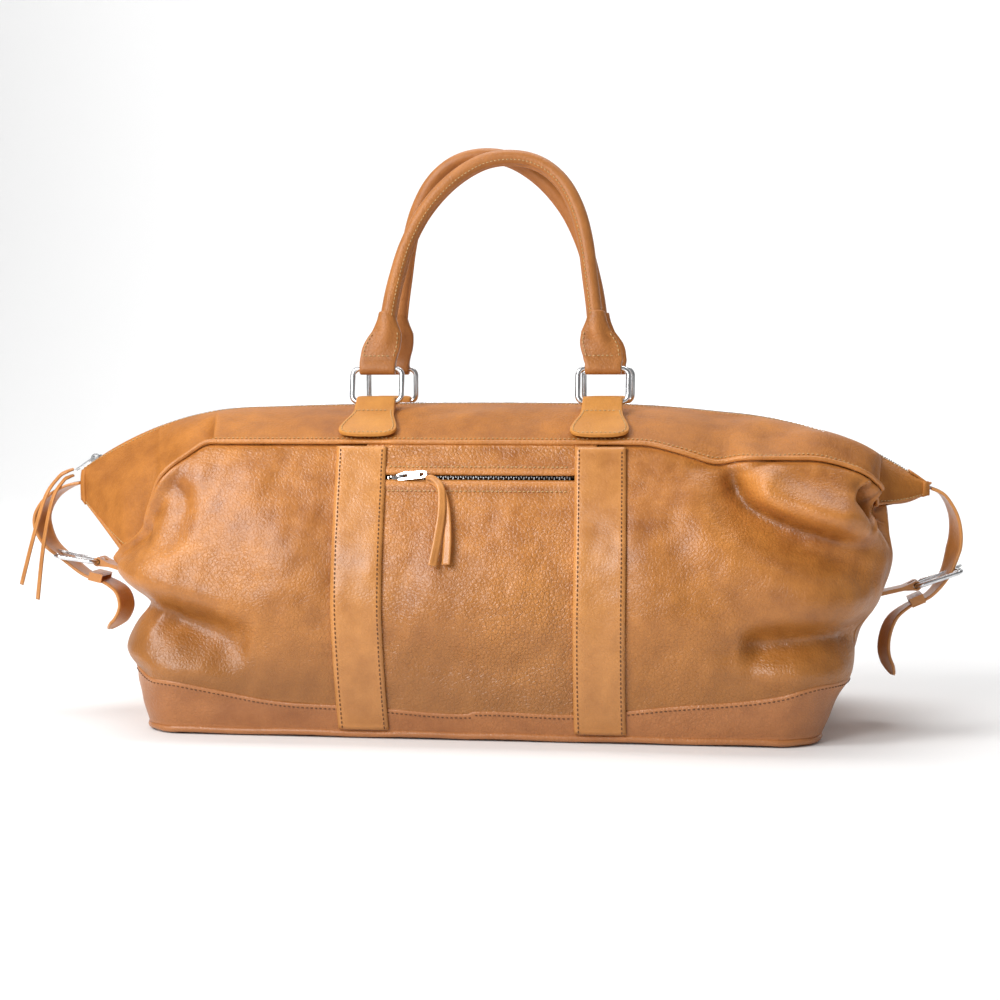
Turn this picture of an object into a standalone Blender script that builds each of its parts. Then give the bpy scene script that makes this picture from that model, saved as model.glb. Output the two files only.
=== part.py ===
"""Leather weekender bag.

A soft duffel body of separate leather panels over a stiffened base, with a domed top gusset that runs out
into a wing at each end, a main zip along the ridge, a zipped front pocket, two rolled handles on metal
rings, and a buckled strap that ties each wing down to its end of the body.

Frame: metres, +X along the bag's length, the front at -Y, +Z up, the origin under the middle of the base.
"""

import math

import bmesh
import bpy
from mathutils import Matrix, Vector

NAME = "weekender_bag"

# Body: height, half length, half depth and corner radius of the wall at some levels.
WALL_LEVELS = [
    (0.000, 0.256, 0.117, 0.032),
    (0.045, 0.270, 0.124, 0.045),
    (0.100, 0.289, 0.127, 0.060),
    (0.150, 0.289, 0.114, 0.060),
    (0.190, 0.263, 0.094, 0.055),
    (0.219, 0.236, 0.080, 0.050),
]
RIM_HEIGHT = 0.219          # top seam along the front and the back
RIM_END_LEFT = 0.140        # where the top seam comes down to the left wing's underside
RIM_END_RIGHT = 0.158       # the same at the right, where the bag sits fuller
LEATHER = 0.0016            # panel thickness
EDGE_GAP = 0.0036           # from a seam's line to the edge of the panel beside it
BAND_MID_HEIGHT = 0.022     # base band at the middle of the front
BAND_END_HEIGHT = 0.048     # base band at the ends
BAND_FOOT = 0.0068          # lower edge of the base band
BASE_LENGTH = 0.256         # half length that the band's curve is measured over
BAND_CURVE = 2.5            # how late the band's edge turns up towards the ends
RIM_CURVE = 1.3             # how fast the top seam falls round a corner

# Columns round a quarter of the wall: to the strap, to the corner, round the corner, to the end's middle.
STRAP_X = 0.0885            # centre of the vertical straps, chapes and rings
TO_STRAP = 2
TO_CORNER = 3
ROUND_CORNER = 4
TO_END = 2
QUARTER = TO_STRAP + TO_CORNER + ROUND_CORNER + TO_END
SEAM_COLUMN = TO_STRAP + TO_CORNER + ROUND_CORNER
COLUMN_GAP = 0.05           # share of a column left open beside a vertical seam

# Ridge and wings.
RIDGE_MID = 0.248
RIDGE_SHOULDER = 0.2445
SHOULDER_X = 0.185
SHOULDER_RADIUS = 0.253     # the ridge falls away along this arc, and the zip slider follows it
WING_TIP_X = 0.336
WING_TIP_FLOOR = 0.166
WING_TIP_HALF = 0.016
WING_ROOT_X = 0.302         # place on the ridge over the wing's root
WING_FLOOR_ROWS = (0.35, 1.0)   # places of the underside's rows, from the end panel to the tip
WING_FLOOR_STEP = 0.006     # from the top of an end panel out to the wing's underside
WING_FLOOR_RISE = 0.002
WING_FLOOR_END = 0.003      # the underside stops this far short of the tip
WING_FLOOR_INSET = 0.004    # and this far inside each gusset's edge
GUSSET_SPREAD = 1.06        # the ridge's stations lie this much further out than the seam's
GUSSET_DOME = 0.0042
ZIP_EDGE = 0.0118           # half width left for the zip between the two gussets

# Piping and base.
PIPING_RADIUS = 0.0020
BASE_PIPING_RADIUS = 0.0025
BASE_PIPING_Z = 0.0036
PANEL_THICKNESS = 0.0020
PANEL_INSET = 0.0036        # from the wall's foot in to the base panel's edge
BOARD_INSET = 0.0120
PIPING_PROUD = 0.0003       # the base piping's centre line, out from the wall
TOP_PIPING_PROUD = 0.0006
BOARD_BOTTOM = 0.0034
BOARD_THICKNESS = 0.0024
LINING_OUT = -0.0105
LINING_FLOOR = 0.0085
LINING_THICKNESS = 0.0008
LINING_DROP = 0.016         # the lining's edge, below the top seam

# Vertical straps.
STRAP_WIDTH = 0.038
STRAP_OUT = 0.0034
STRAP_THICKNESS = 0.0019
STRAP_FOOT_RISE = 0.0006    # above the base band's lower edge
STRAP_TOP_DROP = 0.0032     # below the top seam

# Handle hardware. The ring's lower bar is the hinge in the chape, its upper bar the hinge in the handle.
BAR_Y = 0.035
BAR_Z = 0.249
RING_WIRE = 0.0020
RING_WIDTH = 0.039
RING_HEIGHT = 0.0265
RING_CORNER = 0.005
LOOP_HOLE = 0.0027
LOOP_OUTER = 0.0046
CHAPE_WIDTH = 0.030
CHAPE_SLOPE = math.radians(24)
CHAPE_LENGTH = 0.052
CHAPE_SHOULDER = 0.0115     # from the bar to where the fold lies flat
CHAPE_THICKNESS = 0.0034
TAB_WIDTH = 0.028
TAB_LENGTH = 0.028
TAB_THICKNESS = 0.0048
TAB_SHOULDER = 0.011        # from the upper bar to where the fold lies flat
TAB_SPREAD = 0.992          # the tabs stand a little closer together than the rings
FRONT_LEAN = math.radians(12)
BACK_LEAN = math.radians(3)
HANDLE_RADIUS = 0.0060
HANDLE_SKIN = 0.0018
CORE_RADIUS = 0.0036
# Centre line of the rolled grip in the handle's plane: across, and up from the ring's lower bar.
GRIP_ROUTE = [
    (-0.0825, 0.056), (-0.0806, 0.076), (-0.0762, 0.100), (-0.0688, 0.127), (-0.0553, 0.1545),
    (-0.0352, 0.178), (-0.0112, 0.1935), (0.0125, 0.1975), (0.0347, 0.1925), (0.0528, 0.178),
    (0.0653, 0.1555), (0.0728, 0.129), (0.0772, 0.100), (0.0806, 0.076), (0.0825, 0.056),
]

# Main zip.
TAPE_INNER = 0.0017
TAPE_OUTER = 0.0105
TAPE_THICKNESS = 0.0012
SLIDER_LENGTH = 0.012
SLIDER_WIDTH = 0.008
SLIDER_PLATE = 0.0016
SLIDER_CLEARANCE = 0.0005
BRIDGE_WIDTH = 0.0022
BRIDGE_LENGTH = 0.004
BAIL_HEIGHT = 0.0044
BAIL_HALF = 0.0042
BAIL_WIRE = 0.0013
BAIL_THICKNESS = 0.0014
BAIL_SINK = 0.0004          # the bail's feet run this far into the slider's top plate
BAIL_CENTRE = 0.0018        # middle of the bail's opening, above its feet
SLIDER_CORNER = 0.0022
MAIN_SLIDER_X = -0.328
PULL_LENGTH = 0.022
PULL_WIDTH = 0.007
PULL_THICKNESS = 0.0012
PULL_CORNER = 0.001
PULL_START = 0.0002
PULL_WINDOW = (0.0016, 0.0008, 0.0066, 0.0006)  # half width, near end, far end and corner of the bail's hole
PULL_BAR = 0.0012           # half depth of the bar at the pull's end, which the thong goes round
EYE_RADIUS = 0.0019
THONG_RADIUS = 0.0009
THONG_TURN = 0.0027
THONG_LEAD = 0.0035         # straight run of each leg beyond the bar
# Outer and inner leg of the main thong, from the pull down past the wing's tip.
MAIN_THONG_OUTER = [(-0.3600, -0.006, 0.1900), (-0.3700, -0.017, 0.1720), (-0.3830, -0.021, 0.1400),
                    (-0.3960, -0.021, 0.1000)]
MAIN_THONG_INNER = [(-0.3545, -0.006, 0.1865), (-0.3630, -0.017, 0.1700), (-0.3730, -0.021, 0.1350),
                    (-0.3830, -0.021, 0.0880)]
# Outer and inner leg of the pocket's thong: across, up, and out from the wall.
POCKET_THONG_OUTER = [(-0.0305, 0.1915, 0.0085), (-0.0250, 0.1850, 0.0085), (-0.0245, 0.1680, 0.0080),
                      (-0.0265, 0.1480, 0.0075), (-0.0290, 0.1300, 0.0070)]
POCKET_THONG_INNER = [(-0.0325, 0.1895, 0.0056), (-0.0265, 0.1830, 0.0058), (-0.0210, 0.1680, 0.0058),
                      (-0.0185, 0.1500, 0.0056), (-0.0175, 0.1310, 0.0056)]

NORMAL_STEP = 0.004

# Front pocket.
POCKET_Z = 0.193
POCKET_HALF = 0.0665
POCKET_SLOT = 0.0105
POCKET_SLIDER_X = -0.0600
POCKET_TAPE_OUT = -0.0025
POCKET_TAPE_HALF = 0.0075
POCKET_TAPE_END = 0.006     # the tapes run on past each end of the slot
POCKET_PULL_LIFT = math.radians(11)
POCKET_BAG_HALF = 0.060
POCKET_BAG_FLOOR = 0.105
POCKET_BAG_OUTS = (-0.0034, -0.0078)    # its front and its back, out from the wall
POCKET_BAG_LEVELS = (POCKET_BAG_FLOOR, 0.125, 0.145, 0.165, 0.1815)

# End straps: route in the plane of the bag's length, from the wing's tip to the strap's end.
END_STRAP_WIDTH = 0.020
END_STRAP_THICKNESS = 0.0022
SLOT_HALF = 0.0028
LEFT_STRAP_ROUTE = [
    (-0.3395, 0.181), (-0.352, 0.178), (-0.367, 0.168), (-0.3745, 0.152), (-0.368, 0.134),
    (-0.352, 0.1205), (-0.336, 0.1085), (-0.320, 0.1035), (-0.3075, 0.095), (-0.3035, 0.082),
    (-0.308, 0.070), (-0.318, 0.061),
]
RIGHT_STRAP_ROUTE = [
    (0.3395, 0.181), (0.349, 0.176), (0.3565, 0.162), (0.3585, 0.146), (0.3560, 0.131),
    (0.3500, 0.1145), (0.3390, 0.1005), (0.3240, 0.0925), (0.3120, 0.0825), (0.3060, 0.068),
    (0.3055, 0.052), (0.3120, 0.036),
]
STRAP_STEPS = 3
SLOT_FIRST = 10             # first and last row of the prong's slot along the strap
SLOT_LAST = 16
LEFT_BUCKLE = ((-0.326, 0.118), (-0.361, 0.123))
RIGHT_BUCKLE = ((0.330, 0.107), (0.3635, 0.119))
BUCKLE_WIRE = 0.0017
BUCKLE_WIDTH = 0.028
BUCKLE_CORNER = 0.005
BUCKLE_HOLE = 0.0023
BUCKLE_LOOP = 0.0038
PRONG_RADIUS = 0.0010
PRONG_EYE = 0.0034
BUCKLE_CHAPE_WIDTH = 0.018
BUCKLE_CHAPE_THICKNESS = 0.0030
BUCKLE_CHAPE_DROP = 0.010   # its foot on the wall, below the buckle's inner bar
BUCKLE_CHAPE_SHOULDER = 0.010
BUCKLE_CHAPE_GAP = 0.0012   # left open at the wall
PRONG_REST = 0.0004         # between the prong's tip and the bar it lies over
PRONG_OVERHANG = 0.0005
PRONG_NOTCH = (0.012, 0.0048, 0.012)
KEEPER_LENGTH = 0.011
KEEPER_WALL = 0.0014
KEEPER_SLACK = 0.0010
KEEPER_AT = 6.55            # place along the strap's route

COLOURS = {
    "tan_leather": ((0.42, 0.185, 0.045), 0.42, 0.0),
    "base_leather": ((0.36, 0.150, 0.050), 0.38, 0.0),
    "strap_leather": ((0.45, 0.215, 0.065), 0.40, 0.0),
    "handle_leather": ((0.33, 0.140, 0.035), 0.40, 0.0),
    "lining_cloth": ((0.10, 0.065, 0.035), 0.90, 0.0),
    "zip_tape": ((0.12, 0.060, 0.025), 0.85, 0.0),
    "board": ((0.25, 0.200, 0.140), 0.80, 0.0),
    "rope": ((0.62, 0.560, 0.440), 0.90, 0.0),
    "nickel": ((0.72, 0.720, 0.730), 0.18, 1.0),
}


# ---------------------------------------------------------------- scene helpers

def clear_scene():
    for item in list(bpy.data.objects):
        bpy.data.objects.remove(item, do_unlink=True)


def make_collection(name):
    group = bpy.data.collections.new(name)
    bpy.context.scene.collection.children.link(group)
    return group


def make_material(name):
    colour, roughness, metallic = COLOURS[name]
    made = bpy.data.materials.new(name)
    made.use_nodes = True
    shader = made.node_tree.nodes["Principled BSDF"]
    shader.inputs["Base Color"].default_value = (*colour, 1.0)
    shader.inputs["Roughness"].default_value = roughness
    shader.inputs["Metallic"].default_value = metallic
    return made


def link(item, material, parent=None):
    """Put a new object in the part's collection, with its own copy of the material."""
    PARTS.objects.link(item)
    if item.type != "EMPTY":
        own = MATERIALS[material].copy()
        own.name = f"{item.name}_{material}"
        item.data.materials.append(own)
    if parent:
        item.parent = parent
    return item


def make_empty(name, place, rotation=(0.0, 0.0, 0.0), parent=None):
    pivot = bpy.data.objects.new(name, None)
    pivot.location = place
    pivot.rotation_euler = rotation
    return link(pivot, None, parent)


def mesh_object(name, points, faces, material, parent=None):
    mesh = bpy.data.meshes.new(name)
    mesh.from_pydata([tuple(p) for p in points], [], faces)
    mesh.validate()
    return link(bpy.data.objects.new(name, mesh), material, parent)


def thicken(item, thickness, offset=-1.0):
    shell = item.modifiers.new("Thickness", "SOLIDIFY")
    shell.thickness = thickness
    shell.offset = offset
    shell.use_even_offset = True
    return item


def smooth(item, angle=35):
    item.data.shade_smooth()
    item.data.set_sharp_from_angle(angle=math.radians(angle))
    return item


# ---------------------------------------------------------------- shape helpers

def spline(values, where):
    """Catmull-Rom value at a fractional index of a list of tuples."""
    last = len(values) - 1
    where = min(max(where, 0.0), last)
    i = min(int(where), last - 1)
    t = where - i
    a, b, c, d = (values[min(max(j, 0), last)] for j in (i - 1, i, i + 1, i + 2))
    out = []
    for p, q, r, s in zip(a, b, c, d):
        bend = (2 * p - 5 * q + 4 * r - s) * t * t + (3 * q - p - 3 * r + s) * t ** 3
        out.append(q + 0.5 * ((r - p) * t + bend))
    return tuple(out)


def smooth_route(points, steps):
    count = (len(points) - 1) * steps
    return [spline(points, i / steps) for i in range(count + 1)]


def wall_section(z):
    """Half length, half depth and corner radius of the wall at a height."""
    levels = WALL_LEVELS
    for i in range(len(levels) - 1):
        if z <= levels[i + 1][0] or i == len(levels) - 2:
            where = i + (z - levels[i][0]) / (levels[i + 1][0] - levels[i][0])
            return spline(levels, where)[1:]
    return levels[-1][1:]


def quarter_point(column, z, out):
    """A point of the front right quarter of the wall, pushed out level by the distance out."""
    length, depth, corner = wall_section(z)
    bend = TO_STRAP + TO_CORNER
    if column <= TO_STRAP:
        x, y = STRAP_X * column / TO_STRAP, depth + out
    elif column <= bend:
        share = (column - TO_STRAP) / TO_CORNER
        x, y = STRAP_X + (length - corner - STRAP_X) * share, depth + out
    elif column <= SEAM_COLUMN:
        turn = math.pi / 2 * (column - bend) / ROUND_CORNER
        x = length - corner + (corner + out) * math.sin(turn)
        y = depth - corner + (corner + out) * math.cos(turn)
    else:
        share = (column - SEAM_COLUMN) / TO_END
        x, y = length + out, (depth - corner) * (1 - share)
    return x, -y


def wall_point(column, z, out=0.0):
    """Columns run anticlockwise from the front's middle, seen from above."""
    full = 4 * QUARTER
    column = column % full
    quadrant = int(column // QUARTER) % 4
    within = column - quadrant * QUARTER
    if quadrant == 0:
        x, y = quarter_point(within, z, out)
    elif quadrant == 1:
        x, y = quarter_point(QUARTER - within, z, out)
        y = -y
    elif quadrant == 2:
        x, y = quarter_point(within, z, out)
        x, y = -x, -y
    else:
        x, y = quarter_point(QUARTER - within, z, out)
        x = -x
    return Vector((x, y, z))


def corner_share(column):
    """0 along the front or the back, 1 along an end."""
    within = column % (2 * QUARTER)
    within = min(within, 2 * QUARTER - within)
    bend = TO_STRAP + TO_CORNER
    return min(max((within - bend) / ROUND_CORNER, 0.0), 1.0)


def rim_end(column):
    """Height of the top seam's low end on the column's side of the bag."""
    return RIM_END_RIGHT if column % (4 * QUARTER) <= 2 * QUARTER else RIM_END_LEFT


def rim_height(column):
    turn = corner_share(column) * math.pi / 2
    low = rim_end(column)
    return low + (RIM_HEIGHT - low) * math.cos(turn) ** RIM_CURVE


def band_height(column):
    reach = min(abs(wall_point(column, BAND_END_HEIGHT).x) / BASE_LENGTH, 1.0)
    return BAND_MID_HEIGHT + (BAND_END_HEIGHT - BAND_MID_HEIGHT) * reach ** BAND_CURVE


def ridge_height(x):
    """The ridge is almost level, then falls along an arc to the wing's tip."""
    reach = abs(x)
    if reach <= SHOULDER_X:
        return RIDGE_MID - (RIDGE_MID - RIDGE_SHOULDER) * (reach / SHOULDER_X) ** 2
    fall = SHOULDER_RADIUS - math.sqrt(SHOULDER_RADIUS ** 2 - (reach - SHOULDER_X) ** 2)
    return RIDGE_SHOULDER - fall


def sheet(name, rows, thickness, material, closed=False, open_cells=(), floor=False):
    """A grid of points as one leather or cloth panel, thickened inwards. Rows run upwards."""
    width = len(rows[0])
    points = [p for row in rows for p in row]
    faces = []
    for i in range(len(rows) - 1):
        for j in range(width if closed else width - 1):
            if (i, j) in open_cells:
                continue
            k = (j + 1) % width
            faces.append((i * width + j, i * width + k, (i + 1) * width + k, (i + 1) * width + j))
    if floor:
        faces.append(tuple(reversed(range(width))))
    return thicken(smooth(mesh_object(name, points, faces, material)), thickness)


def tube(name, points, radius, material, cyclic=False, caps=True, parent=None):
    """A round tube or wire along a list of points."""
    curve = bpy.data.curves.new(name, "CURVE")
    curve.dimensions = "3D"
    curve.bevel_depth = radius
    curve.bevel_resolution = 2
    curve.use_fill_caps = caps
    line = curve.splines.new("POLY")
    line.points.add(len(points) - 1)
    for vertex, point in zip(line.points, points):
        vertex.co = (*point, 1.0)
    line.use_cyclic_u = cyclic
    return link(bpy.data.objects.new(name, curve), material, parent)


def plate(name, outlines, thickness, material, parent=None, place=None):
    """A flat plate from closed outlines: the first is its edge, the others are holes."""
    curve = bpy.data.curves.new(name, "CURVE")
    curve.dimensions = "2D"
    curve.fill_mode = "BOTH"
    curve.extrude = thickness / 2
    for outline in outlines:
        line = curve.splines.new("POLY")
        line.points.add(len(outline) - 1)
        for vertex, (x, y) in zip(line.points, outline):
            vertex.co = (x, y, 0.0, 1.0)
        line.use_cyclic_u = True
    item = link(bpy.data.objects.new(name, curve), material, parent)
    if place:
        item.location, item.rotation_euler = place
    return item


def arc(centre, radius, start, end, steps):
    turns = [math.radians(start + (end - start) * i / steps) for i in range(steps + 1)]
    return [(centre[0] + radius * math.cos(t), centre[1] + radius * math.sin(t)) for t in turns]


def circle(centre, radius, steps=12):
    return arc(centre, radius, 0, 360 - 360 / steps, steps - 1)


def rounded_rectangle(half_width, low, high, corner, steps=3):
    right, left = half_width - corner, -half_width + corner
    return (
        arc((right, low + corner), corner, -90, 0, steps)
        + arc((right, high - corner), corner, 0, 90, steps)
        + arc((left, high - corner), corner, 90, 180, steps)
        + arc((left, low + corner), corner, 180, 270, steps)
    )


def as_mesh(item):
    """Turn a curve object into a mesh object in the same place, so that it can take a Boolean."""
    bpy.context.view_layer.update()
    evaluated = item.evaluated_get(bpy.context.evaluated_depsgraph_get())
    mesh = bpy.data.meshes.new_from_object(evaluated)
    work = bmesh.new()
    work.from_mesh(mesh)
    bmesh.ops.remove_doubles(work, verts=work.verts, dist=1e-6)
    bmesh.ops.recalc_face_normals(work, faces=work.faces)
    work.to_mesh(mesh)
    work.free()
    name, parent, world = item.name, item.parent, item.matrix_world.copy()
    bpy.data.objects.remove(item, do_unlink=True)
    solid = bpy.data.objects.new(name, mesh)
    PARTS.objects.link(solid)
    solid.parent = parent
    solid.matrix_world = world
    return solid


def join_solid(target, tool):
    """Union of a helper solid into a part. The helper goes to the cutters' collection."""
    PARTS.objects.unlink(tool)
    CUTTERS.objects.link(tool)
    tool.hide_render = True
    tool.display_type = "WIRE"
    union = target.modifiers.new(f"Join_{tool.name}", "BOOLEAN")
    union.operation = "UNION"
    union.object = tool


def box(name, size, centre, material, parent=None):
    bpy.ops.mesh.primitive_cube_add(size=1.0)
    cube = bpy.context.object
    cube.name = name
    for group in list(cube.users_collection):
        group.objects.unlink(cube)
    cube.data.transform(Matrix.Translation(centre) @ Matrix.Diagonal((*size, 1.0)))
    return link(cube, material, parent)


# ---------------------------------------------------------------- base

def base_outline(out):
    return [tuple(wall_point(c, 0.0, out))[:2] for c in range(4 * QUARTER)]


def build_base():
    plate("base_panel", [base_outline(-PANEL_INSET)], PANEL_THICKNESS, "base_leather",
          place=((0, 0, PANEL_THICKNESS / 2), (0, 0, 0)))
    plate("base_board", [base_outline(-BOARD_INSET)], BOARD_THICKNESS, "board",
          place=((0, 0, BOARD_BOTTOM + BOARD_THICKNESS / 2), (0, 0, 0)))
    columns = range(4 * QUARTER)
    levels = 2
    rows = []
    for i in range(levels + 1):
        row = []
        for c in columns:
            top = band_height(c) - EDGE_GAP / 4
            row.append(wall_point(c, BAND_FOOT + (top - BAND_FOOT) * i / levels))
        rows.append(row)
    sheet("base_band", rows, LEATHER, "base_leather", closed=True)
    route = [wall_point(c, 0.0, PIPING_PROUD) + Vector((0, 0, BASE_PIPING_Z)) for c in columns]
    tube("base_piping", route, BASE_PIPING_RADIUS, "base_leather", cyclic=True)


# ---------------------------------------------------------------- wall panels and lining

def panel_rows(first, last, steps, levels, beyond=()):
    """Grid of a wall panel between two columns, from the base band to the rim."""
    rows = []
    for i in range(levels + 1):
        row = []
        for j in range(steps + 1):
            c = first + (last - first) * j / steps
            low = band_height(c) + EDGE_GAP / 4
            high = rim_height(c) - EDGE_GAP
            row.append(wall_point(c, low + (high - low) * i / levels))
        rows.append(row)
    return rows + list(beyond)


def wing_floor(side):
    """Rows that carry an end panel out under its wing to the tip. side is 1 at +X, -1 at -X."""
    rows = []
    low = rim_end(side)
    root = wall_point(SEAM_COLUMN, low)
    start_x, start_z = root.x + WING_FLOOR_STEP, low + WING_FLOOR_RISE
    steps = 2 * TO_END
    for share in WING_FLOOR_ROWS:
        x = start_x + (WING_TIP_X - WING_FLOOR_END - start_x) * share
        z = start_z + (WING_TIP_FLOOR - start_z) * share
        half = abs(root.y) * (1 - share) + WING_TIP_HALF * share - WING_FLOOR_INSET
        rows.append([Vector((side * x, side * half * (2 * j / steps - 1), z)) for j in range(steps + 1)])
    return rows


def build_walls():
    front_edge = SEAM_COLUMN - COLUMN_GAP
    gap = COLUMN_GAP / 2
    levels = 7
    side_steps = TO_CORNER + ROUND_CORNER
    sheet("front_panel_left", panel_rows(-front_edge, -TO_STRAP - gap, side_steps, levels),
          LEATHER, "tan_leather")
    sheet("front_panel_right", panel_rows(TO_STRAP + gap, front_edge, side_steps, levels),
          LEATHER, "tan_leather")
    back = 2 * QUARTER
    whole = 2 * (TO_STRAP + side_steps)
    sheet("back_panel", panel_rows(back - front_edge, back + front_edge, whole, levels),
          LEATHER, "tan_leather")
    end = SEAM_COLUMN + COLUMN_GAP
    sheet("end_panel_right",
          panel_rows(end, 2 * QUARTER - end, 2 * TO_END, 4, wing_floor(1)), LEATHER, "tan_leather")
    sheet("end_panel_left",
          panel_rows(2 * QUARTER + end, 4 * QUARTER - end, 2 * TO_END, 4, wing_floor(-1)),
          LEATHER, "tan_leather")
    build_centre_panel(gap)
    build_lining()


def build_centre_panel(gap):
    """The middle of the front, with the pocket's slot left open in it."""
    reach = STRAP_X * (1 - gap / TO_STRAP)
    across = [-reach, -POCKET_HALF, -POCKET_HALF / 3, POCKET_HALF / 3, POCKET_HALF, reach]
    low = BAND_MID_HEIGHT + EDGE_GAP
    high = RIM_HEIGHT - EDGE_GAP
    slot_low, slot_high = POCKET_Z - POCKET_SLOT / 2, POCKET_Z + POCKET_SLOT / 2
    below = 5
    heights = [low + (slot_low - low) * i / below for i in range(below + 1)] + [slot_high, high]
    rows = []
    for z in heights:
        depth = wall_section(z)[1]
        rows.append([Vector((x, -depth, z)) for x in across])
    slot = [(below, j) for j in (1, 2, 3)]
    sheet("front_panel_centre", rows, LEATHER, "tan_leather", open_cells=slot)


def build_lining():
    """Cloth tub inside the panels, open at the top."""
    levels = 4
    rows = []
    for i in range(levels + 1):
        row = []
        for c in range(4 * QUARTER):
            top = rim_height(c) - LINING_DROP
            z = LINING_FLOOR + (top - LINING_FLOOR) * i / levels
            row.append(wall_point(c, z, LINING_OUT))
        rows.append(row)
    sheet("lining", rows, LINING_THICKNESS, "lining_cloth", closed=True, floor=True)


# ---------------------------------------------------------------- top gusset, piping, zip tapes

def gusset_stations(side):
    """Pairs of a lower edge point and a ridge station, from the middle out to the tip at +X or at -X."""
    pairs = []
    for step in range(SEAM_COLUMN + 1):
        c = side * step
        low = wall_point(c, rim_height(c) + EDGE_GAP * 0.4, -EDGE_GAP * 0.8)
        pairs.append((low, side * min(abs(low.x) * GUSSET_SPREAD, WING_ROOT_X)))
    root = pairs[-1][0]
    for share in (0.5, 1.0):
        low = Vector((root.x + (side * WING_TIP_X - root.x) * share,
                      root.y * (1 - share) - WING_TIP_HALF * share,
                      root.z + (WING_TIP_FLOOR - root.z) * share + WING_FLOOR_RISE))
        pairs.append((low, side * (WING_ROOT_X + (WING_TIP_X - WING_ROOT_X) * share)))
    return pairs


def gusset_row(low, ridge_x, steps=3):
    """Points from the lower edge up to the zip's edge, crowned between them."""
    top = Vector((ridge_x, -ZIP_EDGE, ridge_height(ridge_x)))
    points = []
    for i in range(steps + 1):
        t = i / steps
        crown = GUSSET_DOME * math.sin(math.pi * t)
        points.append(low.lerp(top, t) + Vector((0, -crown * 0.3, crown)))
    return points


def build_gussets():
    left, right = ([gusset_row(low, x) for low, x in gusset_stations(side)] for side in (-1, 1))
    front = [list(row) for row in zip(*(left[:0:-1] + right))]
    sheet("top_gusset_front", front, LEATHER, "tan_leather")
    back = [[Vector((p.x, -p.y, p.z)) for p in reversed(row)] for row in front]
    sheet("top_gusset_back", back, LEATHER, "tan_leather")


def build_top_piping():
    columns = [c * 0.5 for c in range(-2 * SEAM_COLUMN, 2 * SEAM_COLUMN + 1)]
    front = [wall_point(c, rim_height(c), TOP_PIPING_PROUD) for c in columns]
    tube("top_piping_front", front, PIPING_RADIUS, "strap_leather")
    back = [Vector((p.x, -p.y, p.z)) for p in front]
    tube("top_piping_back", back, PIPING_RADIUS, "strap_leather")


def build_main_tapes():
    steps = 48
    for name, side in (("main_zip_tape_front", -1), ("main_zip_tape_back", 1)):
        rows = []
        edges = (TAPE_OUTER, TAPE_INNER) if side < 0 else (TAPE_INNER, TAPE_OUTER)
        for y in edges:
            row = []
            for i in range(steps + 1):
                x = WING_TIP_X * (2 * i / steps - 1)
                row.append(Vector((x, side * y, ridge_height(x) + TAPE_THICKNESS / 2)))
            rows.append(row)
        sheet(name, rows, TAPE_THICKNESS, "zip_tape")


# ---------------------------------------------------------------- vertical straps

def build_straps():
    levels = 9
    low, high = BAND_FOOT + STRAP_FOOT_RISE, RIM_HEIGHT - STRAP_TOP_DROP
    for face, sign in (("front", -1), ("back", 1)):
        for side, centre in (("left", -STRAP_X), ("right", STRAP_X)):
            rows = []
            for i in range(levels + 1):
                z = low + (high - low) * i / levels
                depth = wall_section(z)[1] + STRAP_OUT
                ends = (centre - STRAP_WIDTH / 2, centre + STRAP_WIDTH / 2)
                xs = ends if sign < 0 else reversed(ends)
                rows.append([Vector((x, sign * depth, z)) for x in xs])
            sheet(f"strap_{face}_{side}", rows, STRAP_THICKNESS, "strap_leather")


# ---------------------------------------------------------------- handles

def chape_outline():
    """Profile of a folded chape: x runs down the slope from the bar, y away from the gusset."""
    low = -LOOP_OUTER
    edge = [(CHAPE_LENGTH, low), (CHAPE_LENGTH, low + CHAPE_THICKNESS)]
    shoulder = [(CHAPE_SHOULDER, low + CHAPE_THICKNESS)]
    return edge + shoulder + arc((0, 0), LOOP_OUTER, 60, 270, 10)


def tab_outline():
    """Profile of a handle's tab: x away from the handle's plane, y up from the ring's upper bar."""
    half = TAB_THICKNESS / 2
    around = arc((0, 0), LOOP_OUTER, 150, 390, 10)
    return around + [(half, TAB_SHOULDER), (half, TAB_LENGTH), (-half, TAB_LENGTH), (-half, TAB_SHOULDER)]


def ring_route():
    flat = rounded_rectangle(RING_WIDTH / 2, 0.0, RING_HEIGHT, RING_CORNER)
    return [(x, 0.0, s) for x, s in flat]


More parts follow.
